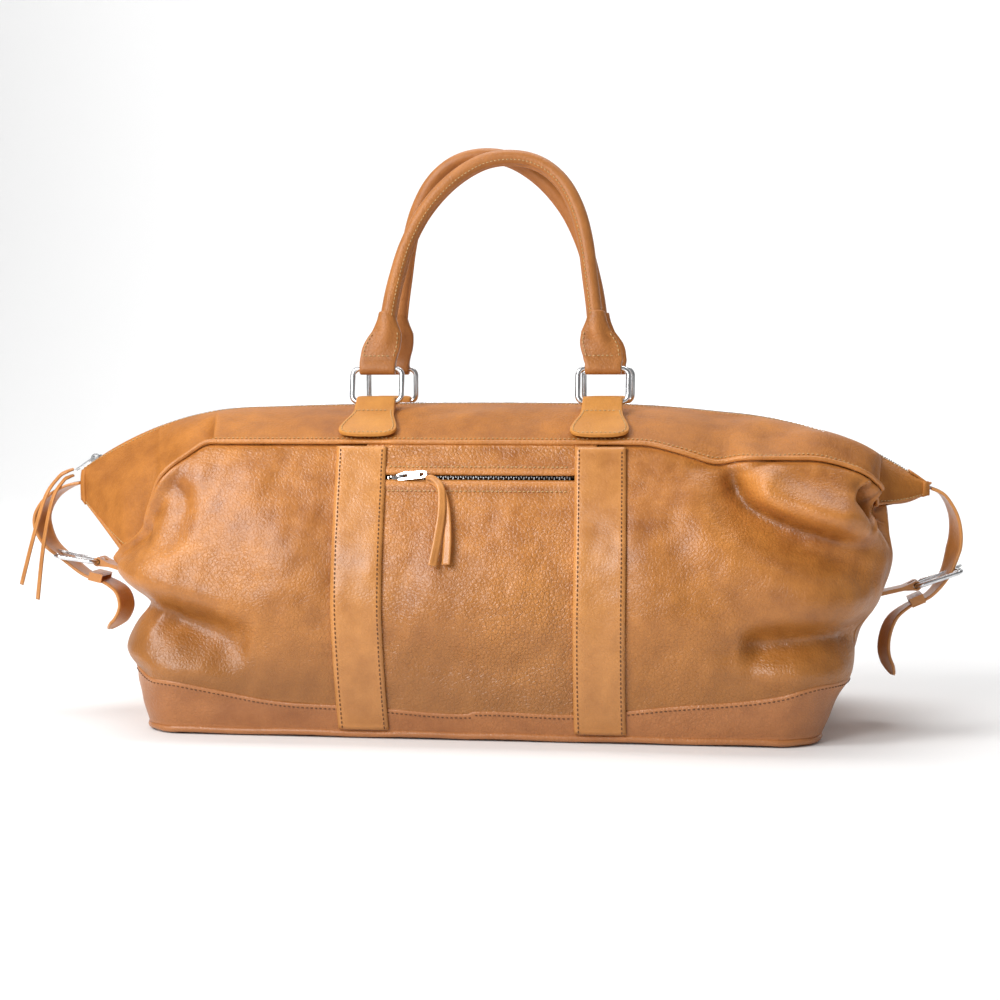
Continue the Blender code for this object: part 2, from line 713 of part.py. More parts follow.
def build_handle(face, sign, lean):
    """One handle: its chapes are fixed, its rings hang on the chapes and its grip hangs on the rings."""
    for side, x in (("left", -STRAP_X), ("right", STRAP_X)):
        chape = plate(f"chape_{face}_{side}", [chape_outline(), circle((0, 0), LOOP_HOLE)],
                      CHAPE_WIDTH, "strap_leather")
        chape.matrix_world = profile_frame((x, sign * BAR_Y, BAR_Z), sign, CHAPE_SLOPE)
        pivot = make_empty(f"pivot_ring_{face}_{side}", (x, sign * BAR_Y, BAR_Z), (sign * lean, 0, 0))
        tube(f"ring_{face}_{side}", ring_route(), RING_WIRE, "nickel", cyclic=True, parent=pivot)
    pivot = make_empty(f"pivot_handle_{face}", (0, sign * BAR_Y, BAR_Z), (sign * lean, 0, 0))
    mirror = 1 if sign < 0 else -1
    route = [(mirror * x, 0.0, s) for x, s in smooth_route(GRIP_ROUTE, 2)]
    cover = tube(f"handle_cover_{face}", route, HANDLE_RADIUS, "handle_leather", caps=False, parent=pivot)
    thicken(cover, HANDLE_SKIN)
    tube(f"handle_core_{face}", route, CORE_RADIUS, "rope", parent=pivot)
    for side, x in (("left", -STRAP_X), ("right", STRAP_X)):
        plate(f"handle_tab_{face}_{side}", [tab_outline(), circle((0, 0), LOOP_HOLE)], TAB_WIDTH,
              "handle_leather", parent=pivot,
              place=((x * TAB_SPREAD, 0, RING_HEIGHT), (math.pi / 2, 0, math.pi / 2)))


def profile_frame(place, sign, slope):
    """Frame of a profile in the plane across the bag: x down the slope outwards, y up from it."""
    down = Vector((0, sign * math.cos(slope), -math.sin(slope)))
    up = Vector((0, sign * math.sin(slope), math.cos(slope)))
    side = down.cross(up)
    turn = Matrix((down, up, side)).transposed().to_4x4()
    return Matrix.Translation(place) @ turn


# ---------------------------------------------------------------- zip sliders and pulls

def slider_solid(name, pivot):
    """Slider in its own frame: x along the zip, z out of the tape's face at z = 0."""
    low = -TAPE_THICKNESS - SLIDER_CLEARANCE
    high = SLIDER_CLEARANCE
    outline = rounded_rectangle(SLIDER_LENGTH / 2, -SLIDER_WIDTH / 2, SLIDER_WIDTH / 2, SLIDER_CORNER, 2)
    top = as_mesh(plate(name, [outline], SLIDER_PLATE, "nickel", parent=pivot,
                        place=((0, 0, high + SLIDER_PLATE / 2), (0, 0, 0))))
    under = as_mesh(plate(f"{name}_under", [outline], SLIDER_PLATE, "nickel", parent=pivot,
                          place=((0, 0, low - SLIDER_PLATE / 2), (0, 0, 0))))
    bridge = box(f"{name}_bridge", (BRIDGE_LENGTH, BRIDGE_WIDTH, high - low + SLIDER_PLATE),
                 Vector((0, 0, (high + low) / 2)), "nickel", pivot)
    base = high + SLIDER_PLATE - BAIL_SINK
    crown = (0, BAIL_HEIGHT - BAIL_HALF)
    inner = BAIL_HALF - BAIL_WIRE
    arch = (
        [(BAIL_HALF, 0.0)] + arc(crown, BAIL_HALF, 0, 180, 8) + [(-BAIL_HALF, 0.0), (-inner, 0.0)]
        + arc(crown, inner, 180, 0, 6) + [(inner, 0.0)]
    )
    bail = as_mesh(plate(f"{name}_bail", [arch], BAIL_THICKNESS, "nickel", parent=pivot,
                         place=((0, 0, base), (math.pi / 2, 0, 0))))
    for tool in (under, bridge, bail):
        join_solid(top, tool)
    return top


def bail_centre():
    return SLIDER_CLEARANCE + SLIDER_PLATE - BAIL_SINK + BAIL_CENTRE


def pull_outline(length):
    """Teardrop pull: y runs along it from the bail. The first hole takes the bail, the last the thong."""
    half = PULL_WIDTH / 2
    corner = PULL_CORNER
    edge = (
        arc((half - corner, PULL_START), corner, -90, 0, 2)
        + arc((0, length - half * 0.9), half * 0.9, 0, 180, 6)
        + arc((-half + corner, PULL_START), corner, 180, 270, 2)
    )
    window = rounded_rectangle(*PULL_WINDOW, 1)
    eye = circle((0, length - 2 * PULL_BAR - EYE_RADIUS), EYE_RADIUS, 8)
    return [edge, window, eye]


def thong_solid(name, bar, along, normal, outer, inner):
    """Round leather thong, doubled round the pull's end bar, with its two legs hanging free."""
    turn = []
    for step in range(7):
        angle = math.pi * step / 6
        turn.append(bar - along * THONG_TURN * math.sin(angle) + normal * THONG_TURN * math.cos(angle))
    lead = along * THONG_LEAD
    legs = [smooth_route([tuple(start), tuple(start + lead)] + leg, 3)
            for start, leg in ((turn[0], outer), (turn[-1], inner))]
    route = list(reversed([Vector(p) for p in legs[0]])) + turn[1:-1] + [Vector(p) for p in legs[1]]
    return tube(name, route, THONG_RADIUS, "strap_leather")


def plane_frame(place, along, up):
    """Frame with x and y on two crossed directions, for a flat plate or a profile."""
    side = Vector(along).cross(Vector(up))
    turn = Matrix((along, up, side)).transposed().to_4x4()
    return Matrix.Translation(place) @ turn


def build_main_zip():
    """Slider near the left wing's tip, its pull lying over the tip and the thong hanging from it."""
    tilt = math.asin((abs(MAIN_SLIDER_X) - SHOULDER_X) / SHOULDER_RADIUS)
    zip_axis = Vector((math.cos(tilt), 0, math.sin(tilt)))
    normal = Vector((-math.sin(tilt), 0, math.cos(tilt)))
    centre = Vector((-SHOULDER_X, 0, RIDGE_SHOULDER - SHOULDER_RADIUS + TAPE_THICKNESS / 2))
    place = centre + normal * SHOULDER_RADIUS
    travel = make_empty("pivot_main_slider", centre)
    spot = make_empty("main_slider_spot", place - centre, (0, -tilt, 0), travel)
    slider_solid("main_zip_slider", spot)
    hinge = place + normal * bail_centre()
    pull_solid("main_zip_pull", PULL_LENGTH, hinge, -zip_axis, normal)
    bar = hinge - zip_axis * (PULL_LENGTH - PULL_BAR)
    thong_solid("main_zip_thong", bar, -zip_axis, normal, MAIN_THONG_OUTER, MAIN_THONG_INNER)


def wall_normal(z):
    """Outward normal of the front wall at a height, from the wall's depth a little above and below."""
    step = NORMAL_STEP
    lean = (wall_section(z - step)[1] - wall_section(z + step)[1]) / (2 * step)
    return Vector((0, -1, lean)).normalized()


def front_point(x, z, out):
    return Vector((x, -wall_section(z)[1], z)) + wall_normal(z) * out


def build_pocket():
    """Zip across the top of the centre panel, with its pouch hanging behind it."""
    normal = wall_normal(POCKET_Z)
    up = normal.cross(Vector((1, 0, 0)))
    centre = front_point(0, POCKET_Z, POCKET_TAPE_OUT)
    reach = POCKET_HALF + POCKET_TAPE_END
    tapes = (("upper", TAPE_INNER, POCKET_TAPE_HALF), ("lower", -POCKET_TAPE_HALF, -TAPE_INNER))
    for name, *edges in tapes:
        rows = [[centre + up * edge + Vector((x, 0, 0)) for x in (-reach, 0, reach)] for edge in edges]
        sheet(f"pocket_zip_tape_{name}", rows, TAPE_THICKNESS, "zip_tape")
    place = centre + Vector((POCKET_SLIDER_X, 0, 0))
    lean = math.atan2(normal.z, -normal.y)
    spot = make_empty("pocket_slider_spot", place, (math.pi / 2 - lean, 0, 0))
    slider_solid("pocket_zip_slider", spot)
    hinge = place + normal * bail_centre()
    along = Vector((math.cos(POCKET_PULL_LIFT), 0, 0)) + normal * math.sin(POCKET_PULL_LIFT)
    face = along.cross(up) * -1
    pull_solid("pocket_zip_pull", PULL_LENGTH, hinge, along, -face if face.dot(normal) < 0 else face)
    bar = hinge + along * (PULL_LENGTH - PULL_BAR)
    legs = [[tuple(front_point(*p)) for p in leg] for leg in (POCKET_THONG_OUTER, POCKET_THONG_INNER)]
    thong_solid("pocket_zip_thong", bar, along, normal, *legs)
    build_pocket_bag()


def build_pocket_bag():
    near, far = POCKET_BAG_OUTS
    rows = []
    for z in POCKET_BAG_LEVELS:
        front = [front_point(x, z, near) for x in (-POCKET_BAG_HALF, 0, POCKET_BAG_HALF)]
        back = [front_point(x, z, far) for x in (POCKET_BAG_HALF, 0, -POCKET_BAG_HALF)]
        rows.append(front + back)
    sheet("pocket_bag", rows, LINING_THICKNESS, "lining_cloth", closed=True, floor=True)


def pull_solid(name, length, hinge, along, normal):
    """Teardrop metal pull with its cross bar on the hinge, inside the slider's bail."""
    item = plate(name, pull_outline(length), PULL_THICKNESS, "nickel")
    side = along.cross(normal)
    turn = Matrix((side, along, side.cross(along))).transposed().to_4x4()
    item.matrix_world = Matrix.Translation(hinge) @ turn
    return item


# ---------------------------------------------------------------- end straps and buckles

def strap_rows(points):
    width = END_STRAP_WIDTH / 2
    route = smooth_route(points, STRAP_STEPS)
    return [[Vector((x, y, z)) for y in (-width, -SLOT_HALF, SLOT_HALF, width)] for x, z in route]


def teardrop(radius, half, length, shoulder):
    """Profile of a leather loop round a bar at the origin, with its doubled end running along x."""
    around = arc((0, 0), radius, 55, 305, 10)
    return around + [(shoulder, -half), (length, -half), (length, half), (shoulder, half)]


def build_end_strap(side, points, buckle):
    inner, outer = (Vector((x, 0, z)) for x, z in buckle)
    along = (outer - inner).normalized()
    up = Vector((-along.z, 0, along.x))
    if up.z < 0:
        up = -up
    reach = (outer - inner).length
    slot = [(i, 1) for i in range(SLOT_FIRST, SLOT_LAST)]
    strap = sheet(f"end_strap_{side}", strap_rows(points), END_STRAP_THICKNESS, "strap_leather",
                  open_cells=slot)
    strap.modifiers["Thickness"].offset = 0.0

    flat = rounded_rectangle(BUCKLE_WIDTH / 2, 0.0, reach, BUCKLE_CORNER)
    route = [inner + Vector((0, y, 0)) + along * s for y, s in flat]
    tube(f"buckle_frame_{side}", route, BUCKLE_WIRE, "nickel", cyclic=True)

    lift = math.asin((BUCKLE_WIRE + PRONG_RADIUS + PRONG_REST) / reach)
    arm = along * math.cos(lift) + up * math.sin(lift)
    arm_up = up * math.cos(lift) - along * math.sin(lift)
    tip = reach + BUCKLE_WIRE + PRONG_OVERHANG
    half = PRONG_RADIUS
    outline = arc((0, 0), PRONG_EYE, 20, 340, 12) + [(tip, -half), (tip + half, 0), (tip, half)]
    prong = plate(f"buckle_prong_{side}", [outline, circle((0, 0), BUCKLE_HOLE)], 2 * PRONG_RADIUS, "nickel")
    prong.matrix_world = plane_frame(inner, arm, arm_up)

    foot = inner.z - BUCKLE_CHAPE_DROP
    wall_x = wall_section(foot)[0] + BUCKLE_CHAPE_GAP
    anchor = Vector((math.copysign(wall_x, inner.x), 0, foot))
    inward = (anchor - inner).normalized()
    inward_up = Vector((-inward.z, 0, inward.x))
    length = (anchor - inner).length - BUCKLE_CHAPE_GAP
    profile = teardrop(BUCKLE_LOOP, BUCKLE_CHAPE_THICKNESS / 2, length, BUCKLE_CHAPE_SHOULDER)
    chape = plate(f"buckle_chape_{side}", [profile, circle((0, 0), BUCKLE_HOLE)], BUCKLE_CHAPE_WIDTH,
                  "strap_leather")
    chape.matrix_world = plane_frame(inner, inward, inward_up)
    chape = as_mesh(chape)
    notch = box(f"notch_{side}", PRONG_NOTCH, Vector((0, 0, 0)), "nickel")
    notch.matrix_world = Matrix.Translation(inner)
    PARTS.objects.unlink(notch)
    CUTTERS.objects.link(notch)
    notch.hide_render = True
    notch.display_type = "WIRE"
    cut = chape.modifiers.new("Prong_slot", "BOOLEAN")
    cut.operation = "DIFFERENCE"
    cut.object = notch
    build_keeper(side, points)


def build_keeper(side, points):
    """Flat leather loop that holds the strap's end, just past the buckle."""
    here = Vector(spline(points, KEEPER_AT))
    ahead = Vector(spline(points, KEEPER_AT + 0.2))
    step = (ahead - here).normalized()
    along = Vector((step.x, 0, step.y))
    up = Vector((-step.y, 0, step.x))
    inner_width = END_STRAP_WIDTH / 2 + KEEPER_SLACK
    inner_height = END_STRAP_THICKNESS / 2 + KEEPER_SLACK
    wide, tall = inner_width + KEEPER_WALL, inner_height + KEEPER_WALL
    outlines = [
        [(-wide, -tall), (wide, -tall), (wide, tall), (-wide, tall)],
        [(-inner_width, -inner_height), (inner_width, -inner_height),
         (inner_width, inner_height), (-inner_width, inner_height)],
    ]
    keeper = plate(f"keeper_{side}", outlines, KEEPER_LENGTH, "strap_leather")
    turn = Matrix((Vector((0, 1, 0)), up, Vector((0, 1, 0)).cross(up))).transposed().to_4x4()
    keeper.matrix_world = Matrix.Translation((here.x, 0, here.y)) @ turn


# ---------------------------------------------------------------- assembly

clear_scene()
PARTS = make_collection(NAME)
CUTTERS = make_collection("cutters")
MATERIALS = {name: make_material(name) for name in COLOURS}
build_base()
build_walls()
build_gussets()
build_top_piping()
build_main_tapes()
build_straps()
build_handle("front", -1, FRONT_LEAN)
build_handle("back", 1, BACK_LEAN)
build_main_zip()
build_pocket()
build_end_strap("left", LEFT_STRAP_ROUTE, LEFT_BUCKLE)
build_end_strap("right", RIGHT_STRAP_ROUTE, RIGHT_BUCKLE)
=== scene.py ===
import math

import bmesh
import bpy
import numpy as np
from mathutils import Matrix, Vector


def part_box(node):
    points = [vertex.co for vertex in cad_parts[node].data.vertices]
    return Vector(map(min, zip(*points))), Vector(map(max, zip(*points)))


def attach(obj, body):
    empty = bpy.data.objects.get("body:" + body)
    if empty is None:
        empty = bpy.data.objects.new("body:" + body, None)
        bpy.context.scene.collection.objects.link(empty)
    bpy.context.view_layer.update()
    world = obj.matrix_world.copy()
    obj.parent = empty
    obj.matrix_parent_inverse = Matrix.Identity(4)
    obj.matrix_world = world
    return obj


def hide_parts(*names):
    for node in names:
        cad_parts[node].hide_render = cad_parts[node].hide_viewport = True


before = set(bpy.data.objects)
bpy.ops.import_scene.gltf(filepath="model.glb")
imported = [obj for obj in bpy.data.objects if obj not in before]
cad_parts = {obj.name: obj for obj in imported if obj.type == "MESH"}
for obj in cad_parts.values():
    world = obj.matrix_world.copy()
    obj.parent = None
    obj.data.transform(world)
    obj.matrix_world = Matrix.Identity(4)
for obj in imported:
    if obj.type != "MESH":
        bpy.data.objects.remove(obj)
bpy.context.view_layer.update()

# Dimensions, in metres.

# Wall of the bag: height, half length left and right, half depth, corner radius left and right.
WALL = np.array([
    (0.0, 0.254, 0.252, 0.118, 0.032, 0.034),
    (0.02, 0.26, 0.26, 0.121, 0.036, 0.038),
    (0.045, 0.266, 0.27, 0.124, 0.042, 0.045),
    (0.068, 0.27, 0.28, 0.126, 0.05, 0.052),
    (0.095, 0.27, 0.292, 0.127, 0.054, 0.058),
    (0.125, 0.279, 0.305, 0.122, 0.054, 0.062),
    (0.15, 0.256, 0.306, 0.114, 0.044, 0.06),
    (0.175, 0.247, 0.303, 0.1025, 0.038, 0.052),
    (0.198, 0.244, 0.294, 0.0905, 0.034, 0.046),
    (0.219, 0.238, 0.278, 0.08, 0.03, 0.042),
])
STRAP_X = (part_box("strap_front_right")[0][0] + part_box("strap_front_right")[1][0]) / 2
RIM_HEIGHT = 0.219
RIM_END_LEFT, RIM_END_RIGHT = 0.133, 0.172
# The rim sags over the right shoulder and is pinched where the deep fold meets it.
SLOUCH, SLOUCH_FROM, SLOUCH_OVER = 0.0105, 2.6, 1.1
PINCH, PINCH_AT, PINCH_OVER = 0.0034, 3.7, 0.26
# The wall's top edge rolls outwards round the corners, most of all round the left ones.
LIP_ROLL, LIP_BELOW_RIM, LIP_WIDTH, LIP_RIGHT = 0.01, 0.004, 0.0085, 0.35
# Columns: the wall is measured round from a face's middle in these steps, the same at every height.
TO_STRAP, TO_CORNER, ROUND_CORNER, TO_END = 2.0, 3.0, 4.0, 2.0
CORNER_START = TO_STRAP + TO_CORNER
SEAM = CORNER_START + ROUND_CORNER
QUARTER = SEAM + TO_END
LEATHER = 0.0018
RIDGE_MID, RIDGE_SHOULDER, SHOULDER_X, SHOULDER_RADIUS = 0.248, 0.2445, 0.185, 0.253
RIGHT_RIDGE_DROP = 0.0085
TIP_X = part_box("top_gusset_front")[1][0]
ZIP_EDGE = 0.0105
SLOT_LOW, SLOT_HIGH = 0.1914, 0.1947
SEAM_ALLOWANCE = 0.0012
FACE_OUT = (0.0, -0.97, 0.24)
WING_ROOT = 0.302
MIRROR_Y = np.array([1, -1, 1])
PEBBLE_SIZE = 0.0024
BAND_OVERLAP = 0.003
TIP_FLOOR_LEFT, TIP_FLOOR_RIGHT, WING_TIP_HALF = 0.17, 0.1785, 0.0135


def smoothstep(t):
    t = np.clip(t, 0, 1)
    return t * t * (3 - 2 * t)


def unit(vectors):
    return vectors / np.linalg.norm(vectors, axis=-1, keepdims=True)


def frames_along(points):
    """Unit steps along a line of points."""
    return unit(np.gradient(points, axis=0))


def travel_along(points):
    """Distance covered at each point of a line."""
    return np.concatenate([[0], np.cumsum(np.linalg.norm(np.diff(points, axis=0), axis=1))])


def normals_of(points):
    """Normals of a grid of points, facing the side that columns x rows turn to."""
    normal = np.cross(np.gradient(points, axis=1), np.gradient(points, axis=0))
    return normal / (np.linalg.norm(normal, axis=-1, keepdims=True) + 1e-12)


def catmull(table, where):
    """Catmull-Rom rows of a table at an array of fractional row numbers."""
    table = np.asarray(table, float)
    last = len(table) - 1
    where = np.clip(np.asarray(where, float), 0, last)
    i = np.minimum(where.astype(int), last - 1)
    t = (where - i)[..., None]
    a, b, c, d = (table[np.clip(i + k, 0, last)] for k in (-1, 0, 1, 2))
    return b + 0.5 * ((c - a) * t + (2 * a - 5 * b + 4 * c - d) * t ** 2 + (3 * b - a - 3 * c + d) * t ** 3)


def smooth_line(points, count):
    points = np.asarray(points, float)
    return catmull(points, np.linspace(0, len(points) - 1, count))


def at_height(z):
    """Left and right length, depth, and left and right corner radius of the wall at heights z."""
    levels = WALL[:, 0]
    where = np.interp(z, levels, np.arange(len(levels)))
    return np.moveaxis(catmull(WALL[:, 1:], where), -1, 0)


def stroke(s, z, points, width, depth, fade=0.25):
    """A soft fold along a line of points in the wall's own plane: positive stands out."""
    points = smooth_line(points, 14)
    best = np.full(np.broadcast(s, z).shape, 1e9)
    along = np.zeros_like(best)
    count = len(points) - 1
    for k in range(count):
        ax, az = points[k]
        dx, dz = points[k + 1] - points[k]
        t = np.clip(((s - ax) * dx + (z - az) * dz) / (dx * dx + dz * dz + 1e-12), 0, 1)
        gap = (s - ax - t * dx) ** 2 + (z - az - t * dz) ** 2
        nearer = gap < best
        best = np.where(nearer, gap, best)
        along = np.where(nearer, (k + t) / count, along)
    ends = smoothstep(np.minimum(along, 1 - along) / fade) * 0.85 + 0.15
    return depth * ends * np.exp(-best / (2 * width * width))


def ripple(x, y, size, seed):
    """Smooth unevenness between about -1 and 1, from a few crossing waves."""
    rng = np.random.default_rng(seed)
    total = np.zeros(np.broadcast(x, y).shape)
    for _ in range(9):
        turn, phase = rng.uniform(0, math.tau, 2)
        pitch = size * rng.uniform(0.6, 1.7)
        total += np.sin((x * math.cos(turn) + y * math.sin(turn)) * math.tau / pitch + phase)
    return total / 4.5


# Folds of each face: points (distance along the wall from its middle, height), then width and depth.
FOLDS = [
    ([(0.188, 0.206), (0.189, 0.19), (0.199, 0.174), (0.226, 0.162), (0.262, 0.151), (0.318, 0.139)],
     0.0048, -0.0085),
    ([(0.184, 0.206), (0.19, 0.18), (0.21, 0.158), (0.262, 0.137), (0.318, 0.124)], 0.011, -0.0145),
    ([(0.204, 0.204), (0.215, 0.183), (0.246, 0.17), (0.296, 0.16)], 0.0105, 0.0155),
    ([(0.212, 0.186), (0.24, 0.168), (0.29, 0.158)], 0.004, -0.0022),
    ([(0.16, 0.206), (0.166, 0.17), (0.184, 0.142), (0.24, 0.114), (0.3, 0.1)], 0.017, 0.0075),
    ([(0.284, 0.187), (0.292, 0.176), (0.304, 0.168)], 0.006, -0.02),
    ([(0.306, 0.176), (0.325, 0.166), (0.34, 0.16)], 0.009, -0.02),
    ([(0.184, 0.21), (0.174, 0.203), (0.15, 0.203)], 0.006, -0.004),
    ([(0.19, 0.072), (0.24, 0.078), (0.33, 0.084)], 0.0085, -0.015),
    ([(0.2, 0.056), (0.25, 0.052), (0.32, 0.052)], 0.008, 0.0045),
    ([(-0.345, 0.104), (-0.29, 0.098), (-0.24, 0.09), (-0.175, 0.074)], 0.009, -0.013),
    ([(-0.25, 0.09), (-0.205, 0.08), (-0.165, 0.07)], 0.014, -0.0085),
    ([(-0.33, 0.068), (-0.26, 0.054), (-0.17, 0.042)], 0.009, 0.0065),
    ([(-0.335, 0.128), (-0.275, 0.118), (-0.2, 0.102), (-0.15, 0.082)], 0.012, 0.006),
    ([(-0.24, 0.212), (-0.243, 0.176), (-0.262, 0.146)], 0.0085, 0.0045),
    ([(-0.226, 0.19), (-0.226, 0.16), (-0.236, 0.132)], 0.008, -0.0035),
    ([(-0.335, 0.05), (-0.285, 0.049), (-0.24, 0.046)], 0.0055, -0.004),
    ([(-0.15, 0.204), (-0.205, 0.2), (-0.235, 0.19)], 0.014, 0.003),
    ([(-0.06, 0.064), (0.0, 0.056), (0.06, 0.06)], 0.009, -0.003),
    ([(-0.055, 0.11), (0.0, 0.098), (0.06, 0.108)], 0.026, 0.005),
    ([(-0.19, 0.2), (-0.15, 0.15), (-0.14, 0.08)], 0.025, 0.0045),
    ([(0.12, 0.19), (0.128, 0.13), (0.14, 0.07)], 0.022, 0.0045),
]


def wrap(c):
    """Columns past the back's middle come round from the other end, with minus signs."""
    return (np.asarray(c, float) + 2 * QUARTER) % (4 * QUARTER) - 2 * QUARTER


def face_columns(c):
    """How many columns each of c is from the middle of its own face."""
    turn = np.abs(wrap(c))
    return np.where(turn <= QUARTER, turn, 2 * QUARTER - turn)


def corner_angle(q):
    return np.clip((q - CORNER_START) / ROUND_CORNER, 0, 1) * math.pi / 2


def rim_height(c):
    """The wall's top seam: level along the faces, falling round the corners to the ends."""
    q = face_columns(c)
    right = wrap(c) > 0
    slouch = SLOUCH * smoothstep((q - SLOUCH_FROM) / SLOUCH_OVER)
    slouch = slouch + PINCH * np.exp(-((q - PINCH_AT) / PINCH_OVER) ** 2)
    top = RIM_HEIGHT - np.where(right, slouch, 0.0)
    low = np.where(right, RIM_END_RIGHT, RIM_END_LEFT)
    return low + (top - low) * np.maximum(np.cos(corner_angle(q)), 0) ** 0.9


def lip(c, z):
    """The roll of the wall's top edge, which stands out round the corners, over the wings' roots."""
    q = face_columns(c)
    round_corner = smoothstep((q - CORNER_START - 0.8) / 1.6)
    past = np.clip((SEAM + 0.25 - q) / 0.25, 0, 1)
    side = np.where(wrap(c) < 0, 1.0, LIP_RIGHT)
    below = (rim_height(c) - z - LIP_BELOW_RIM) / LIP_WIDTH
    return side * LIP_ROLL * round_corner * past * np.exp(-below ** 2)


def relief(c, s, z):
    """How far the soft wall stands proud of its plain shape. The back is calmer than the front."""
    back = np.abs(c) > QUARTER
    total = np.zeros(np.broadcast(s, z).shape)
    for points, width, depth in FOLDS:
        total += stroke(s, z, points, width, depth)
    calm = 0.25 * np.clip((rim_height(c) - z) / 0.03, 0, 1)
    total *= np.where(back, 1 - calm, 1.0)
    pull = np.exp(-((np.abs(s) - STRAP_X) / 0.02) ** 2)
    total = total * (1 - 0.75 * pull) - 0.0012 * pull
    total += 0.0006 * ripple(s, z, 0.055, 3) + 0.00035 * ripple(s, z, 0.021, 8)
    pocket = np.exp(-((z - 0.193) / 0.014) ** 2) * np.clip(1.3 - np.abs(s) / 0.08, 0, 1)
    total *= 1 - 0.9 * np.clip(pocket, 0, 1) * (~back)
    total += lip(c, z)
    return total * np.clip((z - 0.004) / 0.03, 0, 1)


def wall(c, z, out=0.0, soft=1.0):
    """Points of the wall. Columns c run from the front's middle, positive to the right end and the back."""
    c, z = np.broadcast_arrays(wrap(c), np.asarray(z, float))
    q = face_columns(c)
    face = np.where(np.abs(c) <= QUARTER, -1.0, 1.0)
    side = np.where(c < 0, -1.0, 1.0)
    left, right, depth, corner_left, corner_right = at_height(z)
    corner = np.where(c < 0, corner_left, corner_right)
    flat = np.where(c < 0, left, right) - corner
    angle = corner_angle(q)
    x_flat = np.where(q <= TO_STRAP, STRAP_X * q / TO_STRAP,
                      STRAP_X + (flat - STRAP_X) * np.clip((q - TO_STRAP) / TO_CORNER, 0, 1))
    end = np.clip((q - SEAM) / TO_END, 0, 1)
    s = (x_flat + corner * angle + end * (depth - corner)) * side
    push = out + soft * relief(c, s, z)
    x = x_flat + (corner + push) * np.sin(angle)
    y = (depth - corner) * (1 - end) + (corner + push) * np.cos(angle)
    return np.stack([x * side, y * face, z], axis=-1)


def band_height(c):
    """Top edge of the base band, which climbs towards the ends."""
    reach = np.clip(np.abs(wall(c, 0.045, soft=0.0)[..., 0]) / 0.262, 0, 1)
    sag = 0.0012 * np.sin(np.asarray(c) * 2.1 + 1.0)
    return 0.0215 + 0.0265 * reach ** 2.4 + sag


def ridge_height(x):
    """The zip's line, arched over the bag and lower towards the right wing."""
    reach = np.abs(x)
    fall = SHOULDER_RADIUS - np.sqrt(SHOULDER_RADIUS ** 2 - np.maximum(reach - SHOULDER_X, 0) ** 2)
    level = RIDGE_MID - (RIDGE_MID - RIDGE_SHOULDER) * np.minimum(reach / SHOULDER_X, 1) ** 2
    return level - fall - RIGHT_RIDGE_DROP * smoothstep((x - 0.1) / 0.18)


class Nodes:
    """Short way to build a node tree."""

    def __init__(self, name):
        self.material = bpy.data.materials.new(name)
        self.material.use_nodes = True
        self.tree = self.material.node_tree
        self.shader = self.tree.nodes["Principled BSDF"]
        self.coords = self.add("ShaderNodeTexCoord").outputs["Object"]

    def feed(self, socket, value):
        """Joins a socket to another one's output, or sets its value."""
        if isinstance(value, bpy.types.NodeSocket):
            self.tree.links.new(value, socket)
        else:
            socket.default_value = value

    def add(self, kind, inputs=None, **settings):
        node = self.tree.nodes.new(kind)
        for key, value in settings.items():
            setattr(node, key, value)
        for key, value in (inputs or {}).items():
            self.feed(node.inputs[key], value)
        return node

    def wire(self, value, key):
        self.feed(self.shader.inputs[key], value)

    def noise(self, coords, scale, detail=3.0, roughness=0.55):
        return self.add("ShaderNodeTexNoise", {"Vector": coords, "Scale": scale, "Detail": detail,
                                               "Roughness": roughness}).outputs["Fac"]

    def cells(self, coords, scale, feature="F1"):
        node = self.add("ShaderNodeTexVoronoi", {"Vector": coords, "Scale": scale}, feature=feature)
        return node.outputs["Distance"]

    def ramp(self, factor, stops):
        node = self.add("ShaderNodeValToRGB", {"Fac": factor})
        line = node.color_ramp.elements
        while len(line) < len(stops):
            line.new(0.5)
        for element, (place, colour) in zip(line, stops):
            element.position = place
            element.color = (*colour, 1.0)
        return node.outputs["Color"]

    def math(self, operation, a, b=0.0, c=0.0, clamp=False):
        node = self.add("ShaderNodeMath", {0: a, 1: b, 2: c}, operation=operation, use_clamp=clamp)
        return node.outputs[0]

    def blend(self, factor, a, colour):
        node = self.add("ShaderNodeMix", {0: factor, 6: a, 7: (*colour, 1.0)}, data_type="RGBA")
        return node.outputs[2]

    def bump(self, height, distance, strength, before=None):
        inputs = {"Height": height, "Distance": distance, "Strength": strength}
        if before:
            inputs["Normal"] = before
        return self.add("ShaderNodeBump", inputs).outputs["Normal"]


